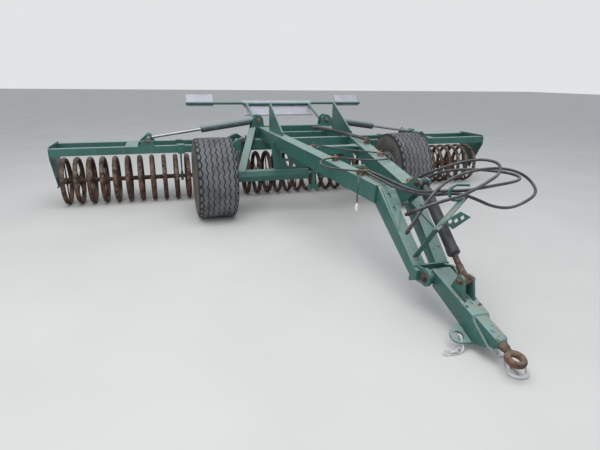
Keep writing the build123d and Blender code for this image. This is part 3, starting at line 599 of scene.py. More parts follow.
def finish(name):
    """A finish by name, made the first time that it is asked for."""
    if name not in FINISHES:
        green, rust, dust, rubber, board = colours()
        pale_dust = tuple(min(1, 1.25 * c) for c in dust)
        makers = {
            "green": lambda: paint("green paint", green, dust, rust),
            "nose": lambda: paint("worn green paint", green, dust, rust, wear=1.0, dusty=0.7),
            "castings": lambda: rusted("cast rings", rust, dust, (GANG_Y, AXLE_Z)),
            "bare": lambda: rusted("bare steel", rust, dust, dusty=0.45, depth=0.001),
            "clamp": lambda: rusted("clamp steel", CLAMP_RUST, pale_dust, dusty=0.75, depth=0.0006),
            "tyre": lambda: tyre_rubber("tyre rubber", rubber, dust),
            "rim": lambda: paint("rim paint", RIM_PAINT, dust, rust, wear=0.6, dusty=0.8, gloss=0.5),
            "board": lambda: galvanised("board sheet", board, dust, metallic=0.25),
            "zinc": lambda: galvanised("zinc", ZINC, dust, scale=150, rough=0.4, metallic=0.3, dirty=0.5),
            "chrome": lambda: chrome("chromed rod", dust),
            "barrel": lambda: paint("cylinder paint", BARREL_PAINT, BARREL_DUST, rust, wear=0.3, dusty=0.95),
            "fitting": lambda: rusted("fitting steel", FITTING_STEEL, dust, dusty=0.3, depth=0.0004),
            "ram": lambda: paint("ram paint", RAM_PAINT, dust, rust, wear=0.5, dusty=0.25, pale=0.12),
            "hose": lambda: hose_rubber("hose rubber", rubber),
            "wrap": lambda: wrapped("spiral wrap", rubber, dust),
            "plug": lambda: plastic("plug plastic", PLUG_PLASTIC, dust),
        }
        FINISHES[name] = makers[name]()
    return FINISHES[name]


# Stage: the floor's half size and lines of points, and the sky's and the backdrop's colours and strengths
FLOOR_HALF = 60.0
FLOOR_LINES = 13
SKY = ((0.86, 0.93, 1.0, 1), 0.62)
BACKDROP = ((0.90, 0.91, 0.92, 1), 0.85)
# Lamps: name, place, aim, edge in metres and power in watts
LAMPS = (
    ("sky light", (-1.5, -2.0, 7.5), (0, 0.4, 0.4), 7.0, 420),
    ("front light", (-5.5, -7.0, 4.0), (0, -0.5, 0.5), 4.0, 130),
)


class ROLLER_OT_stage(Operator):
    """Camera at the photograph's angle, plain pale floor and soft light"""

    bl_idname = "roller.stage"
    bl_label = "Stage"

    def execute(self, context):
        stage = context.scene.roller_stage
        ahead = Vector((
            math.sin(stage.turn) * math.cos(stage.fall), math.cos(stage.turn) * math.cos(stage.fall),
            -math.sin(stage.fall),
        ))
        right = Vector((math.cos(stage.turn), -math.sin(stage.turn), 0))
        down = ahead.cross(right)
        level = right * math.cos(stage.roll) + down * math.sin(stage.roll)
        upright = right * math.sin(stage.roll) - down * math.cos(stage.roll)
        camera = bpy.data.objects.new("camera", bpy.data.cameras.new("camera"))
        context.scene.collection.objects.link(camera)
        turn = Matrix((level, upright, -ahead)).transposed().to_4x4()
        camera.matrix_world = Matrix.Translation(stage.camera_at) @ turn
        camera.data.sensor_width = 36
        camera.data.lens = stage.lens
        camera.data.clip_end = 200
        context.scene.camera = camera

        line = np.linspace(-FLOOR_HALF, FLOOR_HALF, FLOOR_LINES)
        across, along = np.meshgrid(line, line, indexing="ij")
        ground = np.stack([across, along, np.zeros_like(across)], -1)
        mesh = bpy.data.meshes.new("floor")
        quads = grid_quads(FLOOR_LINES, FLOOR_LINES, False, False)
        mesh.from_pydata(ground.reshape(-1, 3), [], quads[:, ::-1])
        floor = bpy.data.objects.new("floor", mesh)
        context.scene.collection.objects.link(floor)
        mesh.materials.append(floor_finish("floor", tuple(stage.floor)))

        for name, at, aim, edge, power in LAMPS:
            lamp = bpy.data.lights.new(name, "AREA")
            lamp.shape = "SQUARE"
            lamp.size = edge
            lamp.energy = power
            held = bpy.data.objects.new(name, lamp)
            context.scene.collection.objects.link(held)
            look = (Vector(aim) - Vector(at)).to_track_quat("-Z", "Y")
            held.matrix_world = Matrix.Translation(at) @ look.to_matrix().to_4x4()

        world = bpy.data.worlds.new("studio")
        context.scene.world = world
        world.use_nodes = True
        tree = world.node_tree
        tree.nodes.clear()
        path = tree.nodes.new("ShaderNodeLightPath")
        seen = path.outputs["Is Camera Ray"]
        for ray in ("Is Transmission Ray", "Is Glossy Ray"):
            either = tree.nodes.new("ShaderNodeMath")
            either.operation = "MAXIMUM"
            tree.links.new(seen, either.inputs[0])
            tree.links.new(path.outputs[ray], either.inputs[1])
            seen = either.outputs[0]
        share = tree.nodes.new("ShaderNodeMixShader")
        tree.links.new(seen, share.inputs["Fac"])
        for socket, (colour, strength) in ((1, SKY), (2, BACKDROP)):
            background = tree.nodes.new("ShaderNodeBackground")
            background.inputs["Color"].default_value = colour
            background.inputs["Strength"].default_value = strength
            tree.links.new(background.outputs[0], share.inputs[socket])
        end = tree.nodes.new("ShaderNodeOutputWorld")
        tree.links.new(share.outputs[0], end.inputs["Surface"])
        context.scene.view_settings.view_transform = "Standard"
        return {"FINISHED"}


def on_end(route, profile, name, material, slot):
    """A turned piece on the end of a route, along its last heading."""
    last, before = np.array(route[-1]), np.array(route[-2])
    sheets = Sheets()
    sheets.add(turned(profile, 24, last, last - before), wrap_columns=True)
    return sheets.piece(name, "chassis", finish(material), slot, smooth=30)


# Profiles of the ends, as (distance along, radius)
COUPLER = (
    (0.0, 0), (0.0, 0.0125), (0.0015, 0.0138), (0.024, 0.0138), (0.026, 0.012), (0.026, 0.0105),
    (0.033, 0.0105), (0.034, 0.0145), (0.036, 0.015), (0.040, 0.0142), (0.043, 0.015), (0.046, 0.0142),
    (0.049, 0.015), (0.053, 0.0145), (0.054, 0.0108), (0.066, 0.0108), (0.068, 0.0095), (0.068, 0.006),
    (0.060, 0.0055), (0.060, 0),
)
PLUG = (
    (0.0, 0), (0.0, 0.0065), (0.004, 0.0085), (0.016, 0.0088), (0.019, 0.0125), (0.022, 0.0145),
    (0.026, 0.015), (0.050, 0.015), (0.052, 0.0138), (0.056, 0.0138), (0.058, 0.015), (0.0615, 0.0148),
    (0.062, 0.0132), (0.054, 0.0125), (0.054, 0),
)


class ROLLER_OT_cords(Operator):
    """Hoses and the lights' cable on their routes, with their couplers and plug"""

    bl_idname = "roller.cords"
    bl_label = "Hoses and cable"

    def execute(self, context):
        for name, diameter, length, far_end, end_node in CORDS:
            route = [(x, FRONT_Y + y, z) for x, y, z in ROUTES[name]]
            curve = bpy.data.curves.new(name + "_line", "CURVE")
            curve.dimensions = "3D"
            spline = curve.splines.new("NURBS")
            spline.points.add(len(route) - 1)
            weights = np.ones((len(route), 1))
            spline.points.foreach_set("co", np.append(np.array(route), weights, axis=1).ravel())
            spline.order_u = 3
            spline.use_endpoint_u = True
            spline.resolution_u = 8
            curve.bevel_depth = diameter / 2
            curve.bevel_resolution = 4
            curve.use_fill_caps = True
            hose = bpy.data.objects.new(name + "_line", curve)
            context.scene.collection.objects.link(hose)
            curve.materials.append(finish("hose"))
            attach(hose, "chassis")
            if far_end == "connector":
                on_end(route, COUPLER, end_node, "fitting", "bare_steel")
            if far_end == "plug":
                on_end(route, PLUG, end_node, "plug", "board_sheet")
        return {"FINISHED"}


class ROLLER_OT_tyres(Operator):
    """Tyres with zigzag ribs"""

    bl_idname = "roller.tyres"
    bl_label = "Tyres"

    def execute(self, context):
        depth = context.scene.roller_sizes.tread_depth
        for name, side in SIDES:
            sheets = Sheets()
            sheets.add(tyre_surface(side * WHEEL_X, depth), wrap_rows=True, wrap_columns=True)
            node = name + "_tyre"
            sheets.piece(node + "_tread", name + "_wheel", finish("tyre"), "tyre_rubber", (node,), 28)
        return {"FINISHED"}


# Tread: ribs across, zigzags in a turn, then their swing and the grooves' half width and slope, in metres
RIBS = 7
ZIGZAGS = 30
ZIGZAG_SWING = 0.010
GROOVE_HALF = 0.0042
GROOVE_SLOPE = 0.0030
# Crown: its half width, how far it falls to the shoulder, and the share of it that has grooves
TREAD_HALF = 0.88 * TYRE_HALF
CROWN_FALL = 0.006
GROOVED = 0.985
# Lugs at the shoulder: start and slope as shares of the crown, the gap between them, share of the depth
LUG_FROM = 0.90
LUG_SLOPE = 0.06
LUG_GAP = 0.15
LUG_DEPTH = 0.7
# Side wall: the bead's radius, how far the wall comes in at it, and its bulge's reach and power
BEAD_R = 0.2163
BEAD_IN = 0.012
BULGE_REACH = 1.06
BULGE_POWER = 0.8


def tyre_surface(x, depth):
    """Tyre section carried round the axle.

    Across the crown the radius falls by the tread's depth wherever a zigzag line, a triangle wave of the
    angle, is close. The side walls bulge as a half sine down to the beads.
    """
    crown = np.linspace(-1, 1, 145)
    wall = np.linspace(0, 1, 22)[1:]
    angle = np.linspace(0, 2 * math.pi, ZIGZAGS * 12, endpoint=False)[:, None]
    swing = np.abs((angle * ZIGZAGS / (2 * math.pi)) % 1 - 0.5) * 4 - 1
    across = crown[None] * TREAD_HALF
    crown_r = TYRE_R - CROWN_FALL * np.abs(crown[None]) ** 3
    pitch = 2 * TREAD_HALF / RIBS
    place = (across + swing * ZIGZAG_SWING) / pitch
    nearness = np.abs(place - np.round(place)) * pitch
    groove = 1 - np.clip((nearness - GROOVE_HALF) / GROOVE_SLOPE, 0, 1)
    groove = groove * groove * (3 - 2 * groove) * (np.abs(crown[None]) < GROOVED)
    lug = np.clip((np.abs(crown[None]) - LUG_FROM) / LUG_SLOPE, 0, 1) * (swing > LUG_GAP)
    radius = crown_r - depth * np.maximum(groove, LUG_DEPTH * lug)
    shoulder_r = TYRE_R - CROWN_FALL
    fall = shoulder_r - BEAD_R
    bulge = np.sin(np.clip(wall * BULGE_REACH, 0, 1) * math.pi) ** BULGE_POWER
    side_x = TREAD_HALF + (TYRE_HALF - TREAD_HALF) * bulge - BEAD_IN * wall**3
    side_r = shoulder_r - fall * wall
    ones = np.ones_like(angle)
    x_line = np.concatenate([-side_x[::-1][None] * ones, across * ones, side_x[None] * ones], 1)
    r_line = np.concatenate([side_r[::-1][None] * ones, radius, side_r[None] * ones], 1)
    return np.stack([x + x_line, WHEEL_Y + r_line * np.cos(angle), TYRE_R + r_line * np.sin(angle)], -1)


class ROLLER_OT_rings(Operator):
    """Ring gangs: round ridged rings on spokes, their hubs and the sleeves between them"""

    bl_idname = "roller.rings"
    bl_label = "Ring gangs"

    def execute(self, context):
        centre = (np.arange(CENTRE_RINGS) - (CENTRE_RINGS - 1) / 2) * RING_PITCH
        wing = OUTER_RING_X - np.arange(WING_RINGS) * RING_PITCH
        gangs = [("centre_ring_gang", "centre_gang", centre)]
        for name, side in SIDES:
            gangs.append((name + "_ring_gang", name + "_gang", side * wing))
        for node, body, middles in gangs:
            sheets = Sheets()
            for number, x in enumerate(sorted(middles)):
                add_ring(sheets, x, math.radians(RING_TURN * number))
            low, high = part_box(node)
            add_axle(sheets, low.x, high.x, sorted(middles))
            sheets.piece(node + "_cast", body, finish("castings"), "cast_rings", (node,), 40)
        return {"FINISHED"}


# Rings: turn from one to the next in degrees, spokes, where a spoke starts and how far it is in the rim
RING_TURN = 37
SPOKES = 4
SPOKE_FOOT = 0.028
SPOKE_IN_RIM = 0.004
# Half width and half thickness of a spoke at its waist, and how much more at its ends
SPOKE_WIDE = (0.011, 0.007)
SPOKE_THICK = (0.0085, 0.004)
# Rim: powers that shape its section, share by which the ridge falls to its sides, and the inner side's share
RIM_SIDE_POWER = 0.75
RIM_CREST_POWER = 0.9
RIDGE_FALL = 0.45
RIDGE_FALL_POWER = 1.3
RIM_INNER = 0.9
# Profile of a hub, as (distance along the axle, radius)
HUB = (
    (-0.030, 0), (-0.030, 0.034), (-0.026, 0.039), (-0.012, 0.042), (0.012, 0.042), (0.026, 0.039),
    (0.030, 0.034), (0.030, 0),
)
# Axle: radius and the bevel at its ends, then the sleeves' radius, flare, clearance and space for a hanger
AXLE_R = 0.0248
AXLE_END_R = 0.0242
AXLE_BEVEL = 0.002
SLEEVE_R = 0.0285
SLEEVE_FLARE = 0.002
SLEEVE_CLEAR = 0.0305
HANGER_SPACE = 0.02


def add_ring(sheets, x, start):
    """One ring: a rim, tapered spokes of oval section and a hub.

    The rim's section is an ellipse with powers of its cosine and sine, whose outer side falls to a ridge.
    """
    turn = np.linspace(0, 2 * math.pi, 20, endpoint=False)
    half = RING_HALF * np.sign(np.cos(turn)) * np.abs(np.cos(turn)) ** RIM_SIDE_POWER
    out = np.sin(turn)
    crest = RIM_DEPTH / 2 * np.sign(out) * np.abs(out) ** RIM_CREST_POWER
    ridge = 1 - RIDGE_FALL * np.abs(half / RING_HALF) ** RIDGE_FALL_POWER
    crest = crest * np.where(out > 0, ridge, RIM_INNER)
    radius = RING_R - RIM_DEPTH / 2 + crest
    section = np.stack([half, radius], -1)
    rim = turned(section, 64, (x, GANG_Y, AXLE_Z), (1, 0, 0))
    sheets.add(rim, wrap_rows=True, wrap_columns=True)
    reach = np.linspace(SPOKE_FOOT, RING_R - RIM_DEPTH + SPOKE_IN_RIM, 7)
    swell = (np.abs(reach - reach.mean()) / np.ptp(reach) * 2) ** 3
    wide = SPOKE_WIDE[0] + SPOKE_WIDE[1] * swell
    thick = SPOKE_THICK[0] + SPOKE_THICK[1] * swell
    around = np.linspace(0, 2 * math.pi, 12, endpoint=False)
    for spoke in range(SPOKES):
        angle = start + spoke * 2 * math.pi / SPOKES
        ahead = np.array([0, math.cos(angle), math.sin(angle)])
        beside = np.array([0, -math.sin(angle), math.cos(angle)])
        centre = np.array([x, GANG_Y, AXLE_Z]) + reach[:, None] * ahead
        grid = (centre[:, None] + (thick[:, None] * np.cos(around))[..., None] * np.array([1, 0, 0])
                + (wide[:, None] * np.sin(around))[..., None] * beside)
        sheets.add(closed_ends(grid), wrap_columns=True)
    sheets.add(turned(HUB, 28, (x, GANG_Y, AXLE_Z), (1, 0, 0)), wrap_columns=True)


def add_axle(sheets, low, high, middles):
    """The shaft, and a waisted sleeve in each space between two rings."""
    shaft = (
        (low, 0), (low, AXLE_END_R), (low + AXLE_BEVEL, AXLE_R), (high - AXLE_BEVEL, AXLE_R),
        (high, AXLE_END_R), (high, 0),
    )
    sheets.add(turned(shaft, 24, (0, GANG_Y, AXLE_Z), (1, 0, 0)), wrap_columns=True)
    along = np.linspace(-1, 1, 9)
    half = RING_PITCH / 2 - SLEEVE_CLEAR
    waist = [(half * a, SLEEVE_R + SLEEVE_FLARE * a * a) for a in along]
    profile = [(-half, 0.0), *waist, (half, 0.0)]
    housings = [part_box(n) for n in ("left_wing_mid_hanger", "right_wing_mid_hanger")]
    spaces = [(a + b) / 2 for a, b in zip(middles, middles[1:])]
    places = [(x, GANG_Y, AXLE_Z) for x in spaces
              if not any(a.x - HANGER_SPACE < x < b.x + HANGER_SPACE for a, b in housings)]
    sheets.add(turned(profile, 20, (0, 0, 0), (1, 0, 0)), wrap_columns=True, places=places)


# Bolts, in metres: where the washer's bevel starts, its top, and the head's foot
WASHER_BEVEL = 0.0022
WASHER_TOP = 0.0028
HEAD_FOOT = 0.002
# The head's turn, then its sides' height, whole height and top's radius, as multiples of its radius
HEAD_TURN = 0.3
HEAD_SIDE = 0.62
HEAD_HIGH = 0.78
HEAD_TOP_R = 0.84


def bolt_heads(sheets, places, axis, radius, washer):
    """Hexagon heads on washers: a six-cornered and a round profile turned about each bolt's axis."""
    disc = (
        (-0.001, 0), (-0.001, radius * washer), (WASHER_BEVEL, radius * washer),
        (WASHER_TOP, radius * washer * 0.96), (WASHER_TOP, 0),
    )
    side, top = HEAD_FOOT + radius * HEAD_SIDE, HEAD_FOOT + radius * HEAD_HIGH
    head = ((HEAD_FOOT, 0), (HEAD_FOOT, radius), (side, radius), (top, radius * HEAD_TOP_R), (top, 0))
    sheets.add(turned(disc, 20, (0, 0, 0), axis), wrap_columns=True, places=places)
    sheets.add(turned(head, 6, (0, 0, 0), axis, HEAD_TURN), wrap_columns=True, places=places)


# Neck and nose: hinge, the ram's two pins and the legs, as (y from the gang frames' front face, z)
HINGE = (-3.470, 0.285)
HINGE_PIN_R = 0.022
RAM_TOP = (-3.150, 0.885)
RAM_FOOT = (-3.7465, 0.3773)
RAM_PIN_R = 0.016
RAM_LUG_IN = 0.027
LUG_THICK = 0.016
LEG_BEND = (-2.800, 0.790)
LEG_RUN = 0.575
LEG_DROP = 0.465
LEG_FOOT = (LEG_BEND[0] - LEG_RUN + 0.020, LEG_BEND[1] - LEG_DROP + 0.007)
LEG_OUTLINE = (
    (-2.750, 0.722), (-2.788, 0.795), LEG_BEND, LEG_FOOT, (LEG_FOOT[0] + 0.025, LEG_FOOT[1] - 0.090),
    (-2.760, 0.645),
)
# Half distances across: the legs at bend and foot, and the hinge ears' two faces; and a leg's own width
LEG_OUT = 0.179
LEG_FOOT_OUT = 0.147
EAR_IN = 0.098
EAR_OUT = 0.118
LEG_W = 0.104
# Steps of (y, z) from the legs' foot: outlines of the foot plate and of the cheeks beside the ears
FOOT_PLATE = ((0.012, -0.003), (-0.014, 0), (0.013, -0.126), (0.038, -0.126))
CHEEK = ((0.020, -0.003), (0.027, -0.126), (-0.055, -0.093), (-0.055, -0.020))
# How far the foot plate stands out at each side
FOOT_PLATE_OVER = 0.002
# Ears: radius of the round end, how far it stands out, and the web's corners as steps from hinge and foot
EAR_R = 0.0655
EAR_PROUD = 0.001
EAR_AT_HINGE = ((-0.018, 0.062), (-0.030, -0.056))
EAR_AT_FOOT = ((0, -0.008), (0.012, -0.120))
# Lugs of the ram: steps from its two pins, then where they stand on the legs, (down, up), and on the nose
NECK_LUG = ((0.014, 0.036), (-0.026, 0.030), (-0.040, 0), (-0.014, -0.038))
NOSE_LUG = ((0.036, 0.012), (0.025, 0.030), (0, 0.037), (-0.025, 0.030), (-0.036, 0.012))
NECK_LUG_FEET = ((0.034, 0.009), (0.188, 0.009))
NOSE_LUG_FEET = ((0.190, 0.010), (0.345, -0.033))
# Gusset over the bend: outline and slots as (x, distance down the legs), a slot's half length and radius
GUSSET = ((0.157, 0.030), (0.157, 0.430), (0.045, 0.190), (-0.045, 0.190), (-0.157, 0.430), (-0.157, 0.030))
GUSSET_SLOTS = ((-0.118, 0.105), (-0.118, 0.235), (0.118, 0.105), (0.118, 0.235))
SLOT_HALF = 0.013
SLOT_R = 0.011
# Thickness of the gusset and of the chain plate
PLATE_THICK = 0.010

# Nose, as (ahead of the hinge, up), and its half widths at hinge and tip
NOSE_OUTLINE = (
    (0.012, 0.066), (0.452, -0.058), (0.470, -0.092), (0.613, -0.188), (0.495, -0.232), (0.317, -0.160),
    (0.042, -0.056),
)
NOSE_LENGTH = max(out for out, _ in NOSE_OUTLINE)
NOSE_HALF = 0.076
NOSE_TIP_HALF = 0.058
# Flat of the underside that the chain plate is on
NOSE_UNDER = (NOSE_OUTLINE[5], NOSE_OUTLINE[4])
# Swivel: tilt of its axis and the eye's distance from the hinge
SWIVEL_TILT = math.radians(12.5)
EYE_OUT = 0.790
# Swivel's housing: its mouth behind the eye, its outline as (behind the eye, up) and its half width
MOUTH = 0.130
HOUSING = ((0.340, 0.034), (MOUTH, 0.030), (MOUTH, -0.042), (0.340, -0.046))
HOUSING_HALF = 0.042
# Chain plate: holes' distance down the slope, lobes with their arcs in degrees, holes, and the waist's sizes
PLATE_HOLE = 0.120
LOBE_R = 0.056
LOBE_STARTS = (-75, 105)
LOBE_ARC = 150
LOBE_POINTS = 14
CHAIN_HOLE_R = 0.034
WAIST_HALF = 0.045
WAIST_FROM = 0.020
WAIST_TO = 0.185
# Profiles turned about their axes, as (distance along, radius)
HINGE_TUBE = ((-0.096, 0), (-0.096, 0.048), (-0.093, 0.051), (0.093, 0.051), (0.096, 0.048), (0.096, 0))
COLLAR = (
    (-0.010, 0), (-0.010, 0.040), (0.006, 0.041), (0.009, 0.037), (0.014, 0.037), (0.016, 0.034),
    (0.016, 0),
)
RAM_KNUCKLE = ((-0.025, 0), (-0.025, 0.034), (-0.022, 0.037), (0.022, 0.037), (0.025, 0.034), (0.025, 0))
EYE_SHANK = (
    (-0.150, 0), (-0.150, 0.024), (-0.124, 0.024), (-0.120, 0.030), (-0.108, 0.031), (-0.085, 0.0275),
    (-0.065, 0.0225), (-0.052, 0.019), (-0.050, 0),
)
# Ram: distance from its top pin to its gland, then its tube and the mouth that the rod slides in
RAM_BARREL = 0.600
RAM_TUBE = (
    (0.030, 0), (0.030, 0.022), (0.062, 0.026), (0.066, 0.038), (0.070, 0.0405), (0.118, 0.0405),
    (0.120, 0.0425), (0.132, 0.0425), (0.134, 0.0405), (RAM_BARREL - 0.052, 0.0405),
    (RAM_BARREL - 0.050, 0.0435), (RAM_BARREL - 0.012, 0.0435), (RAM_BARREL - 0.008, 0.041),
    (RAM_BARREL, 0.030), (RAM_BARREL, 0.0225), (RAM_BARREL - 0.020, 0.0225), (RAM_BARREL - 0.020, 0),
)
# Hitch eye: half height, mean radius and half thickness of its ring, and the power that squares its section
EYE_HALF = 0.0215
EYE_R = 0.0435
EYE_THICK = 0.0185
EYE_POWER = 0.8


def across(points, x):
    """Points of (y from the front face, z) set at an x, or at an x for each."""
    points = np.asarray(points, float)
    return np.column_stack([np.broadcast_to(x, len(points)), FRONT_Y + points[:, 0], points[:, 1]])


def stepped(place, steps):
    """Places at steps of (y, z) from another."""
    return [(place[0] + y, place[1] + z) for y, z in steps]


def at_nose(points):
    """(ahead of the hinge, up) turned into (y from the front face, z)."""
    return [(HINGE[0] - out, HINGE[1] + up) for out, up in points]


def on_swivel(back, up=0.0):
    """Place behind the eye's centre along the swivel's axis and above it, as (y from the front face, z)."""
    out = EYE_OUT - back
    return (HINGE[0] - out * math.cos(SWIVEL_TILT) - up * math.sin(SWIVEL_TILT),
            HINGE[1] - out * math.sin(SWIVEL_TILT) + up * math.cos(SWIVEL_TILT))


def rounded_hole(middle, half, radius, along, beside, count=8):
    """Outline of a slot or, with no half length, of a round hole."""
    angle = np.linspace(-math.pi / 2, math.pi / 2, count)
    bow = np.column_stack([half + radius * np.cos(angle), radius * np.sin(angle)])
    loop = np.concatenate([bow, -bow])
    return np.asarray(middle) + loop[:, :1] * np.asarray(along) + loop[:, 1:] * np.asarray(beside)


def leg_place(down, up):
    """Place down the legs from their bend and above their top face, as (y from the front face, z)."""
    run = math.hypot(LEG_FOOT[0] - LEG_BEND[0], LEG_FOOT[1] - LEG_BEND[1])
    fall = ((LEG_FOOT[0] - LEG_BEND[0]) / run, (LEG_FOOT[1] - LEG_BEND[1]) / run)
    return LEG_BEND[0] + fall[0] * down + fall[1] * up, LEG_BEND[1] + fall[1] * down - fall[0] * up


def pin_head(sheets, place, x, side, radius):
    """Round head of a pin with its retaining washer, on the outer face at x."""
    profile = (
        (0, 0), (0, 1.55 * radius), (0.005, 1.6 * radius), (0.008, 1.5 * radius), (0.008, 1.02 * radius),
        (0.019, radius), (0.022, 0.88 * radius), (0.022, 0),
    )
    middle = (side * x, FRONT_Y + place[0], place[1])
    sheets.add(turned(profile, 28, middle, (side, 0, 0)), wrap_columns=True)


class ROLLER_OT_neck(Operator):
    """Drop neck: tapered legs, gusset over their bend, foot plate, hinge ears, cheeks and the ram's lugs"""

    bl_idname = "roller.neck"
    bl_label = "Drop neck"

    def execute(self, context):
        neck = Sheets()
        pins = Sheets()
        outline = np.asarray(LEG_OUTLINE)
        share = (outline[:, 0] - LEG_FOOT[0]) / (LEG_BEND[0] - LEG_FOOT[0])
        outer = LEG_FOOT_OUT + share * (LEG_OUT - LEG_FOOT_OUT)
        bar = across(stepped(LEG_FOOT, FOOT_PLATE), -LEG_FOOT_OUT - FOOT_PLATE_OVER)
        neck.prism([bar], (2 * LEG_FOOT_OUT + 2 * FOOT_PLATE_OVER, 0, 0))
        for side in (1, -1):
            neck.ruled(across(LEG_OUTLINE, side * outer), across(LEG_OUTLINE, side * (outer - LEG_W)))
            ear_top, ear_low = stepped(HINGE, EAR_AT_HINGE)
            ear = [ear_top, *stepped(LEG_FOOT, EAR_AT_FOOT), ear_low]
            neck.prism([across(ear, side * EAR_IN)], (side * (EAR_OUT - EAR_IN), 0, 0))
            hinge = (side * EAR_IN, FRONT_Y + HINGE[0], HINGE[1])
            round_ear = rounded_hole(hinge, 0, EAR_R, (0, 1, 0), (0, 0, 1), 24)
            neck.prism([round_ear], (side * (EAR_OUT - EAR_IN + EAR_PROUD), 0, 0))
            cheek = across(stepped(LEG_FOOT, CHEEK), side * (EAR_OUT + EAR_PROUD))
            neck.prism([cheek], (side * (LEG_FOOT_OUT - EAR_OUT), 0, 0))
            upper, lower = (leg_place(*feet) for feet in NECK_LUG_FEET)
            lug = [upper, *stepped(RAM_TOP, NECK_LUG), lower]
            neck.prism([across(lug, side * RAM_LUG_IN)], (side * LUG_THICK, 0, 0))
            pin_head(pins, HINGE, EAR_OUT + EAR_PROUD, side, HINGE_PIN_R)
            pin_head(pins, RAM_TOP, RAM_LUG_IN + LUG_THICK, side, RAM_PIN_R)
        places = [leg_place(down, 0.0) for _, down in GUSSET]
        sheet = np.array([(x, FRONT_Y + y, z) for (x, _), (y, z) in zip(GUSSET, places)])
        fall = np.array((0, *np.subtract(leg_place(1, 0), leg_place(0, 0))))
        rise = np.array((0, *np.subtract(leg_place(0, 1), leg_place(0, 0))))
        holes = []
        for x, down in GUSSET_SLOTS:
            y, z = leg_place(down, 0.0)
            holes.append(rounded_hole((x, FRONT_Y + y, z), SLOT_HALF, SLOT_R, fall, (1, 0, 0)))
        neck.prism([sheet, *holes], PLATE_THICK * rise)
        neck.piece("neck_plates", "chassis", finish("green"), "green_paint", ("drop_neck",), bevel=0.0022)
        pins.piece("neck_pins", "chassis", finish("bare"), "bare_steel")
        return {"FINISHED"}


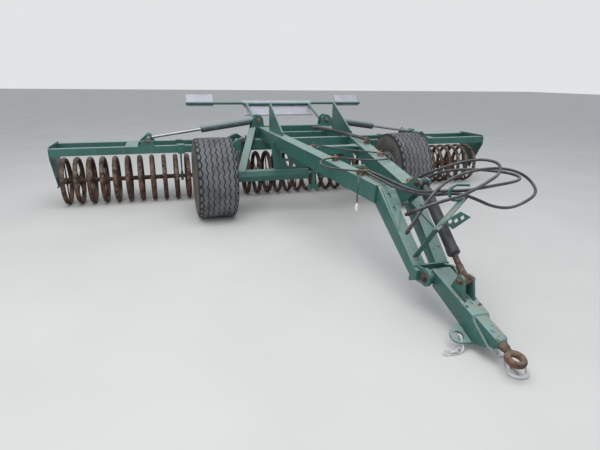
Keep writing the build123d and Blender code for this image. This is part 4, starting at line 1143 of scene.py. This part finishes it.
class ROLLER_OT_nose(Operator):
    """Nose: tapered box with folded front, swivel housing, ram lugs, chain plate, ram and hitch eye"""

    bl_idname = "roller.nose"
    bl_label = "Nose and hitch"

    def execute(self, context):
        nose = Sheets()
        outline = np.asarray(NOSE_OUTLINE)
        half = NOSE_HALF + (NOSE_TIP_HALF - NOSE_HALF) * outline[:, 0] / NOSE_LENGTH
        nose.ruled(across(at_nose(NOSE_OUTLINE), half), across(at_nose(NOSE_OUTLINE), -half))
        hinge = (0, FRONT_Y + HINGE[0], HINGE[1])
        nose.add(turned(HINGE_TUBE, 40, hinge, (1, 0, 0)), wrap_columns=True)
        box = [on_swivel(back, up) for back, up in HOUSING]
        nose.prism([across(box, -HOUSING_HALF)], (2 * HOUSING_HALF, 0, 0))
        rear_y, rear_z = on_swivel(MOUTH)
        ahead = (0, -math.cos(SWIVEL_TILT), -math.sin(SWIVEL_TILT))
        nose.add(turned(COLLAR, 40, (0, FRONT_Y + rear_y, rear_z), ahead), wrap_columns=True)
        pins = Sheets()
        rear, front = at_nose(NOSE_LUG_FEET)
        lug = [rear, *stepped(RAM_FOOT, NOSE_LUG), front]
        for side in (1, -1):
            nose.prism([across(lug, side * RAM_LUG_IN)], (side * LUG_THICK, 0, 0))
            pin_head(pins, RAM_FOOT, RAM_LUG_IN + LUG_THICK, side, RAM_PIN_R)
        under = at_nose(NOSE_UNDER)
        slope = np.array((0, *np.subtract(under[1], under[0])))
        slope = slope / np.linalg.norm(slope)
        square = np.array((0, slope[2], -slope[1]))
        origin = np.array((0, FRONT_Y + under[0][0], under[0][1]))
        wide = np.array((1.0, 0, 0))
        rim = []
        for x, start in zip((CHAIN_X, -CHAIN_X), LOBE_STARTS):
            bow = np.radians(np.linspace(start, start + LOBE_ARC, LOBE_POINTS))
            across_x, down = x + LOBE_R * np.cos(bow), PLATE_HOLE + LOBE_R * np.sin(bow)
            rim += [origin + wide * a + slope * b for a, b in zip(across_x, down)]
        waist = [origin + wide * side * WAIST_HALF + slope * down
                 for side, down in ((1, WAIST_TO), (-1, WAIST_TO), (-1, WAIST_FROM), (1, WAIST_FROM))]
        rim = [*rim[:LOBE_POINTS], *waist[:2], *rim[LOBE_POINTS:], *waist[2:]]
        holes = [rounded_hole(origin + wide * x + slope * PLATE_HOLE, 0, CHAIN_HOLE_R, wide, slope)
                 for x in (CHAIN_X, -CHAIN_X)]
        nose.prism([np.array(rim), *holes], -PLATE_THICK * square)
        nose.piece("nose_plates", "nose", finish("nose"), "green_paint", ("nose_beam",), bevel=0.0025)
        pins.piece("nose_pins", "nose", finish("bare"), "bare_steel")

        start = np.array((0, FRONT_Y + RAM_TOP[0], RAM_TOP[1]))
        aim = np.array((0, FRONT_Y + RAM_FOOT[0], RAM_FOOT[1])) - start
        span = np.linalg.norm(aim)
        barrel = Sheets()
        barrel.add(turned(RAM_TUBE, 40, start, aim), wrap_columns=True)
        barrel.add(turned(RAM_KNUCKLE, 32, start, (1, 0, 0)), wrap_columns=True)
        barrel.piece(
            "nose_ram_tube", "nose_ram_body", finish("ram"), "cylinder_paint", ("nose_ram_barrel",)
        )
        rod = Sheets()
        shank = (
            (RAM_BARREL - 0.100, 0), (RAM_BARREL - 0.100, 0.020), (span - 0.110, 0.020),
            (span - 0.107, 0.024), (span - 0.075, 0.024), (span - 0.040, 0.028), (span - 0.012, 0.032),
            (span - 0.012, 0),
        )
        rod.add(turned(shank, 32, start, aim), wrap_columns=True)
        rod.add(turned(RAM_KNUCKLE, 32, start + aim, (1, 0, 0)), wrap_columns=True)
        rod.piece("nose_ram_eye", "nose_ram_slide", finish("bare"), "chromed_rod", ("nose_ram_rod",), 40)

        eye = Sheets()
        turn = np.linspace(0, 2 * math.pi, 24, endpoint=False)
        height = EYE_HALF * np.sign(np.sin(turn)) * np.abs(np.sin(turn)) ** EYE_POWER
        section = np.column_stack([height, EYE_R + EYE_THICK * np.cos(turn)])
        eye_y, eye_z = on_swivel(0.0)
        centre = (0, FRONT_Y + eye_y, eye_z)
        up = (0, -math.sin(SWIVEL_TILT), math.cos(SWIVEL_TILT))
        eye.add(turned(section, 56, centre, up), wrap_rows=True, wrap_columns=True)
        eye.add(turned(EYE_SHANK, 36, centre, ahead), wrap_columns=True)
        eye.piece("forged_eye", "hitch", finish("bare"), "bare_steel", ("hitch_eye",), 50)
        return {"FINISHED"}


# Chains: holes across, a common link's wire, length and width, the step between links and their height
CHAIN_X = 0.122
WIRE_R = 0.0058
LINK = (0.062, 0.040)
LINK_STEP = 0.041
LINK_LIE = 0.0157
# Side, and the headings of the common links seen from above, in degrees
CHAINS = ((1, (-104, -118, -106, -114)), (-1, (-105, -170, 178, 170)))
# Top link: its hole's place, how far its middle hangs, its lean, size and wire, and its lower end
CHAIN_TOP = (-3.916, 0.0745)
TOP_LINK_DROP = 0.012
TOP_LINK_LEAN = (0, 0.35, 1)
TOP_LINK = (0.074, 0.050)
TOP_WIRE_R = 0.0065
TOP_LINK_END = (0.006, 0.040)
# Hook on the floor: line, as (x, y from the front face), and radius of bar and tongue, and the gap under it
CHAIN_HOOK = (
    (0.100, -4.070), (0.060, -4.126), (0.020, -4.180), (-0.008, -4.222), (-0.004, -4.250), (0.020, -4.270),
    (0.065, -4.274), (0.100, -4.250), (0.132, -4.206),
)
HOOK_BAR = 0.0115
HOOK_LIE = 0.0006
HOOK_TONGUE = ((0.050, -4.150), (0.055, -4.191), (0.050, -4.230), (0.044, -4.266))
TONGUE_BAR = HOOK_BAR - 0.002


def link(sheets, middle, along, face, size, wire):
    """Chain link: a circle carried round a slot-shaped line."""
    along = np.asarray(along, float) / np.linalg.norm(along)
    face = np.asarray(face, float) / np.linalg.norm(face)
    half, bow = (size[0] - size[1]) / 2, size[1] / 2 - wire
    line = rounded_hole(middle, half, bow, along, np.cross(face, along), 9)
    ahead = np.roll(line, -1, 0) - np.roll(line, 1, 0)
    ahead /= np.linalg.norm(ahead, axis=1)[:, None]
    beside = np.cross(ahead, face)
    angle = np.linspace(0, 2 * math.pi, 10, endpoint=False)
    ring = np.cos(angle)[None, :, None] * beside[:, None] + np.sin(angle)[None, :, None] * face
    sheets.add(line[:, None] + wire * ring, wrap_rows=True, wrap_columns=True)


class ROLLER_OT_chains(Operator):
    """Safety chains that hang from the nose's plate and lie on the ground, and the right one's hook"""

    bl_idname = "roller.chains"
    bl_label = "Safety chains"

    def execute(self, context):
        sheets = Sheets()
        for side, headings in CHAINS:
            x, y = side * CHAIN_X, FRONT_Y + CHAIN_TOP[0]
            middle = (x, y, CHAIN_TOP[1] - TOP_LINK_DROP)
            link(sheets, middle, TOP_LINK_LEAN, (1, 0, 0), TOP_LINK, TOP_WIRE_R)
            start = np.array((x, y - TOP_LINK_END[0], CHAIN_TOP[1] - TOP_LINK_END[1]))
            for k, heading in enumerate(np.radians(headings)):
                drop = LINK_LIE - start[2]
                level = math.sqrt(LINK_STEP**2 - drop**2)
                step = np.array((level * math.cos(heading), level * math.sin(heading), drop))
                beside = np.cross(step, (0, 0, 1.0))
                beside /= np.linalg.norm(beside)
                face = np.cross(step, beside) / np.linalg.norm(step) + beside * (1 if k % 2 else -1)
                link(sheets, start + step / 2, step, face, LINK, WIRE_R)
                start = start + step
        for points, radius in ((CHAIN_HOOK, HOOK_BAR), (HOOK_TONGUE, TONGUE_BAR)):
            path = [(x, FRONT_Y + y, HOOK_BAR + HOOK_LIE) for x, y in points]
            sheets.add(closed_ends(carried(flowing(path, 6), radius, 14)), wrap_columns=True)
        sheets.piece("chains", "nose", finish("zinc"), "bare_steel")
        return {"FINISHED"}


def flowing(points, steps):
    """A cubic between each two points, whose slope at a point is that between its neighbours."""
    p = np.asarray(points, float)
    p = np.concatenate([2 * p[:1] - p[1:2], p, 2 * p[-1:] - p[-2:-1]])
    t = np.linspace(0, 1, steps, endpoint=False)[None, :, None]
    a, b, c, d = (p[k:len(p) - 3 + k, None] for k in range(4))
    line = 0.5 * (2 * b + (c - a) * t + (2 * a - 5 * b + 4 * c - d) * t**2 + (3 * b - a - 3 * c + d) * t**3)
    return np.concatenate([line.reshape(-1, 3), p[-2:-1]])


# Hose holder, as (x, y from the front face, z): foot, bend and top; each bar's half width and thickness
HOLDER = ((-0.096, -3.300, 0.374), (-0.1375, -3.570, 0.680), (0.112, -3.500, 0.870))
LOWER_BAR = ((0.024, 0, 0), (0, 0.010, 0))
UPPER_BAR = ((0, 0.026, 0), (0.010, 0, 0))
# Hook on its top: its y, its line as (x, z) and its radius
HOOK_Y = -3.500
HOOK = (
    (0.125, 0.944), (0.080, 0.948), (0.020, 0.950), (-0.012, 0.930), (-0.025, 0.905), (-0.010, 0.868),
    (0.015, 0.848), (0.060, 0.846), (0.116, 0.850),
)
HOOK_R = 0.0105
# Rack for the plugs: its y, outline and holes as (x, z), the holes' half side, its slant and its thickness
RACK_Y = -3.575
RACK = ((-0.0992, 0.7255), (-0.0146, 0.6688), (0.1151, 0.7428), (0.0286, 0.7879))
RACK_HOLES = ((-0.0434, 0.7255), (0.0027, 0.7274), (0.0488, 0.7437))
RACK_HOLE_HALF = 0.0145
RACK_SLANT = math.radians(30)
RACK_THICK = 0.006
# Wrapped bundle: its line, radius, and the height, pitch and power of the wrap's ridge
BUNDLE = (
    (0.387, -1.400, 0.966), (0.335, -1.110, 0.978), (0.290, -0.850, 0.986), (0.250, -0.376, 0.982),
    (0.243, -0.080, 0.966), (0.240, 0.040, 0.955),
)
BUNDLE_R = 0.0185
RIDGE = 0.0025
WRAP_PITCH = 0.030
RIDGE_POWER = 0.6


class ROLLER_OT_holder(Operator):
    """Hose holder on the right leg and the wrapped bundle on the left arm"""

    bl_idname = "roller.holder"
    bl_label = "Holder and bundle"

    def execute(self, context):
        sheets = Sheets()
        foot, bend, top = (np.array((x, FRONT_Y + y, z)) for x, y, z in HOLDER)
        for low, high, (wide, thick) in ((foot, bend, LOWER_BAR), (bend, top, UPPER_BAR)):
            corner, back = np.asarray(wide), np.asarray(thick) / 2
            flat = np.array([low - corner, low + corner, high + corner, high - corner]) - back
            sheets.prism([flat], thick)
        hook = [(x, FRONT_Y + HOOK_Y, z) for x, z in HOOK]
        sheets.add(closed_ends(carried(flowing(hook, 5), HOOK_R, 12, (0, 1, 0))), wrap_columns=True)
        rack = np.array([(x, FRONT_Y + RACK_Y, z) for x, z in RACK])
        along = np.array((math.cos(RACK_SLANT), 0, math.sin(RACK_SLANT)))
        beside = np.array((-math.sin(RACK_SLANT), 0, math.cos(RACK_SLANT)))
        corners = ((1, 1), (-1, 1), (-1, -1), (1, -1))
        square = RACK_HOLE_HALF * np.array([a * along + b * beside for a, b in corners])
        holes = [square + (x, FRONT_Y + RACK_Y, z) for x, z in RACK_HOLES]
        sheets.prism([rack, *holes], (0, RACK_THICK, 0))
        sheets.piece("hose_holder", "chassis", finish("nose"), "green_paint", bevel=0.001)
        bundle = Sheets()
        line = flowing([(x, FRONT_Y + y, z) for x, y, z in BUNDLE], 40)
        along = np.cumsum(np.append(0, np.linalg.norm(np.diff(line, axis=0), axis=1)))
        around = np.linspace(0, 2 * math.pi, 24, endpoint=False)
        wave = np.sin(along[:, None] * 2 * math.pi / WRAP_PITCH - around[None])
        ridge = np.maximum(0, wave) ** RIDGE_POWER
        bundle.add(closed_ends(carried(line, BUNDLE_R + RIDGE * ridge, 24)), wrap_columns=True)
        bundle.piece("arm_hose_bundle", "chassis", finish("wrap"), "tyre_rubber")
        return {"FINISHED"}


# Bolts of the frame's saddles: distances across, height above the saddles' foot and height of the upper row
SADDLE_X = (0.475, 0.62)
SADDLE_LOW = 0.05
SADDLE_HIGH = 0.775
# Pins that run along the machine, as (distance across, height, radius of the head)
TOWER_PIN = (0.506, 1.044, 0.021)
WING_PIN = (0.770, 0.800, 0.020)
LUG_PIN = (1.971, 0.835, 0.018)
PIN_WASHER = 1.5
# Bolts in circles: the end plates' radius and angles, the wheel nuts' number, radius, distance and washer
PLATE_CIRCLE = 0.085
PLATE_ANGLES = (45, 135, 225, 315)
WHEEL_NUTS = 10
NUT_CIRCLE = 0.125
NUT_FACE = 0.008
NUT_WASHER = 1.2
# Hub cap: its foot's distance from the wheel's middle plane and its profile, as (distance along, radius)
CAP_FACE = 0.0955
HUB_CAP = ((0, 0), (0, 0.043), (0.012, 0.043), (0.026, 0.036), (0.034, 0.020), (0.036, 0))


def pin_ends(sheets, sides, pin, front, rear):
    """Heads on both ends of a pin that runs along the machine, on each of the sides."""
    x, z, radius = pin
    for y, ahead in ((front, -1), (rear, 1)):
        bolt_heads(sheets, [(side * x, y, z) for side in sides], (0, ahead, 0), radius, PIN_WASHER)


def on_circle(x, y, z, radius, degrees):
    """Places on a circle that is square to the x axis."""
    return [(x, y + radius * math.cos(a), z + radius * math.sin(a)) for a in np.radians(degrees)]


class ROLLER_OT_fastenings(Operator):
    """Bolts on the saddles, end plates and pins, wheel nuts and hub caps"""

    bl_idname = "roller.fastenings"
    bl_label = "Bolts, nuts and caps"

    def execute(self, context):
        sizes = context.scene.roller_sizes
        bolt, washer = sizes.bolt_r, sizes.washer
        chassis = Sheets()
        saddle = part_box("frame_saddles")[0]
        rows = (saddle.z + SADDLE_LOW, SADDLE_HIGH)
        plates = [(side * x, saddle.y, z) for side in (1, -1) for x in SADDLE_X for z in rows]
        bolt_heads(chassis, plates, (0, -1, 0), bolt, washer)
        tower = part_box("left_tower")
        pin_ends(chassis, (1, -1), TOWER_PIN, tower[0].y, tower[1].y)
        pin_ends(chassis, (1, -1), WING_PIN, FRONT_Y, REAR_Y)
        chassis.piece("frame_bolts", "chassis", finish("clamp"), "bare_steel")
        for name, side in SIDES:
            wing = Sheets()
            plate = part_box(name + "_wing_end_plate")
            x = plate[1].x if side > 0 else plate[0].x
            around = on_circle(x, GANG_Y, AXLE_Z, PLATE_CIRCLE, PLATE_ANGLES)
            bolt_heads(wing, around, (side, 0, 0), bolt, washer)
            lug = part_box(name + "_wing_cylinder_lug")
            pin_ends(wing, (side,), LUG_PIN, lug[0].y, lug[1].y)
            wing.piece(name + "_wing_bolts", name + "_wing", finish("clamp"), "bare_steel")
            wheel = Sheets()
            circle = np.arange(WHEEL_NUTS) * 360 / WHEEL_NUTS
            for face_x, axis in ((WHEEL_X + NUT_FACE, 1), (WHEEL_X - NUT_FACE, -1)):
                nuts = on_circle(side * face_x, WHEEL_Y, TYRE_R, NUT_CIRCLE, circle)
                bolt_heads(wheel, nuts, (side * axis, 0, 0), sizes.nut_r, NUT_WASHER)
            foot = (side * (WHEEL_X + CAP_FACE), WHEEL_Y, TYRE_R)
            wheel.add(turned(HUB_CAP, 32, foot, (side, 0, 0)), wrap_columns=True)
            wheel.piece(name + "_wheel_nuts", name + "_wheel", finish("clamp"), "bare_steel")
        return {"FINISHED"}


# Blocks of the hose clips: x from and to, y from the front face from and to, foot and top
CLIPS = (
    (-0.226, -0.114, -2.525, -2.475, 0.800, 0.864), (0.112, 0.196, -2.778, -2.738, 0.780, 0.824),
    (0.262, 0.312, -1.945, -1.900, 0.850, 0.908), (-0.264, -0.216, -2.042, -1.996, 0.840, 0.904),
    (0.362, 0.412, -1.415, -1.370, 0.890, 0.974), (-0.262, -0.220, -1.412, -1.372, 0.900, 0.930),
)
# Clamps over the clips: x, y from the front face, z of the legs' top, turn and half span
CLAMPS = (
    (-0.150, -2.500, 0.862, 0.2, 0.026), (-0.195, -2.500, 0.862, 0.2, 0.022),
    (0.152, -2.760, 0.822, 0.1, 0.030), (0.287, -1.922, 0.906, 0.5, 0.016),
    (-0.240, -2.019, 0.902, 1.2, 0.016), (0.387, -1.392, 0.972, 0.1, 0.019),
    (-0.241, -1.392, 0.928, 0.3, 0.014),
)
# Radius of a clamp's wire, rise of its bow and length of its legs
CLAMP_WIRE_R = 0.0045
CLAMP_RISE = 0.020
CLAMP_LEG = 0.030


class ROLLER_OT_clamps(Operator):
    """Blocks of the hose clips and the bent clamps over them"""

    bl_idname = "roller.clamps"
    bl_label = "Clips and clamps"

    def execute(self, context):
        sheets = Sheets()
        for x, y, z, turn, span in CLAMPS:
            half = np.linspace(0, math.pi, 15)
            bow = np.stack([np.cos(half) * span, np.zeros_like(half), np.sin(half) * CLAMP_RISE], -1)
            legs = np.array([(span, 0, -CLAMP_LEG), (-span, 0, -CLAMP_LEG)])
            path = np.concatenate([legs[:1], bow, legs[1:]])
            cos, sin = math.cos(turn), math.sin(turn)
            spin = np.array([[cos, -sin, 0], [sin, cos, 0], [0, 0, 1]])
            wire = carried(path @ spin.T + (x, FRONT_Y + y, z), CLAMP_WIRE_R, 10, (0, 1, 0.01))
            sheets.add(closed_ends(wire), wrap_columns=True)
        for x0, x1, y0, y1, foot, top in CLIPS:
            block = [(x, FRONT_Y + y, foot) for x, y in ((x0, y0), (x1, y0), (x1, y1), (x0, y1))]
            sheets.prism([np.array(block)], (0, 0, top - foot))
        sheets.piece("hose_clamps", "chassis", finish("clamp"), "bare_steel")
        return {"FINISHED"}


# Finish of each of the frame's slots
SLOT_FINISH = {
    "green_paint": "green", "cast_rings": "castings", "tyre_rubber": "tyre", "rim_paint": "rim",
    "board_sheet": "board", "chromed_rod": "chrome", "cylinder_paint": "barrel", "bare_steel": "bare",
}


class ROLLER_OT_finishes(Operator):
    """Finishes of the frame's own pieces"""

    bl_idname = "roller.finishes"
    bl_label = "Finishes"

    def execute(self, context):
        slots = {part["node"]: part["material_slot"] for part in frame["record"]["subparts"]}
        for node, piece in frame["nodes"].items():
            piece.data.materials.clear()
            piece.data.materials.append(finish(SLOT_FINISH[slots[node]]))
        return {"FINISHED"}


class ROLLER_PT_sidebar(Panel):
    """Sizes, colours and the steps that dress the roller"""

    bl_label = "Roller"
    bl_idname = "ROLLER_PT_sidebar"
    bl_space_type = "VIEW_3D"
    bl_region_type = "UI"
    bl_category = "Roller"

    def draw(self, context):
        layout = self.layout
        for name, kind in GROUPS:
            box = layout.box()
            for field in kind.__annotations__:
                box.prop(getattr(context.scene, name), field)
        for step in STEPS:
            layout.operator(step.bl_idname)


STEPS = (
    ROLLER_OT_stage, ROLLER_OT_cords, ROLLER_OT_finishes, ROLLER_OT_tyres, ROLLER_OT_rings, ROLLER_OT_neck,
    ROLLER_OT_nose, ROLLER_OT_chains, ROLLER_OT_holder, ROLLER_OT_fastenings, ROLLER_OT_clamps,
)
GROUPS = (("roller_colours", RollerColours), ("roller_sizes", RollerSizes), ("roller_stage", RollerStage))


def register():
    """Registers the groups of properties, the operators and the panel."""
    for name, group in GROUPS:
        bpy.utils.register_class(group)
        setattr(bpy.types.Scene, name, PointerProperty(type=group))
    for step in STEPS:
        bpy.utils.register_class(step)
    bpy.utils.register_class(ROLLER_PT_sidebar)


def unregister():
    """Takes away what register adds."""
    bpy.utils.unregister_class(ROLLER_PT_sidebar)
    for step in reversed(STEPS):
        bpy.utils.unregister_class(step)
    for name, group in GROUPS:
        delattr(bpy.types.Scene, name)
        bpy.utils.unregister_class(group)


def main():
    """Registers the add-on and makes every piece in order."""
    register()
    for step in STEPS:
        group, name = step.bl_idname.split(".")
        getattr(getattr(bpy.ops, group), name)()


if __name__ == "__main__":
    main()
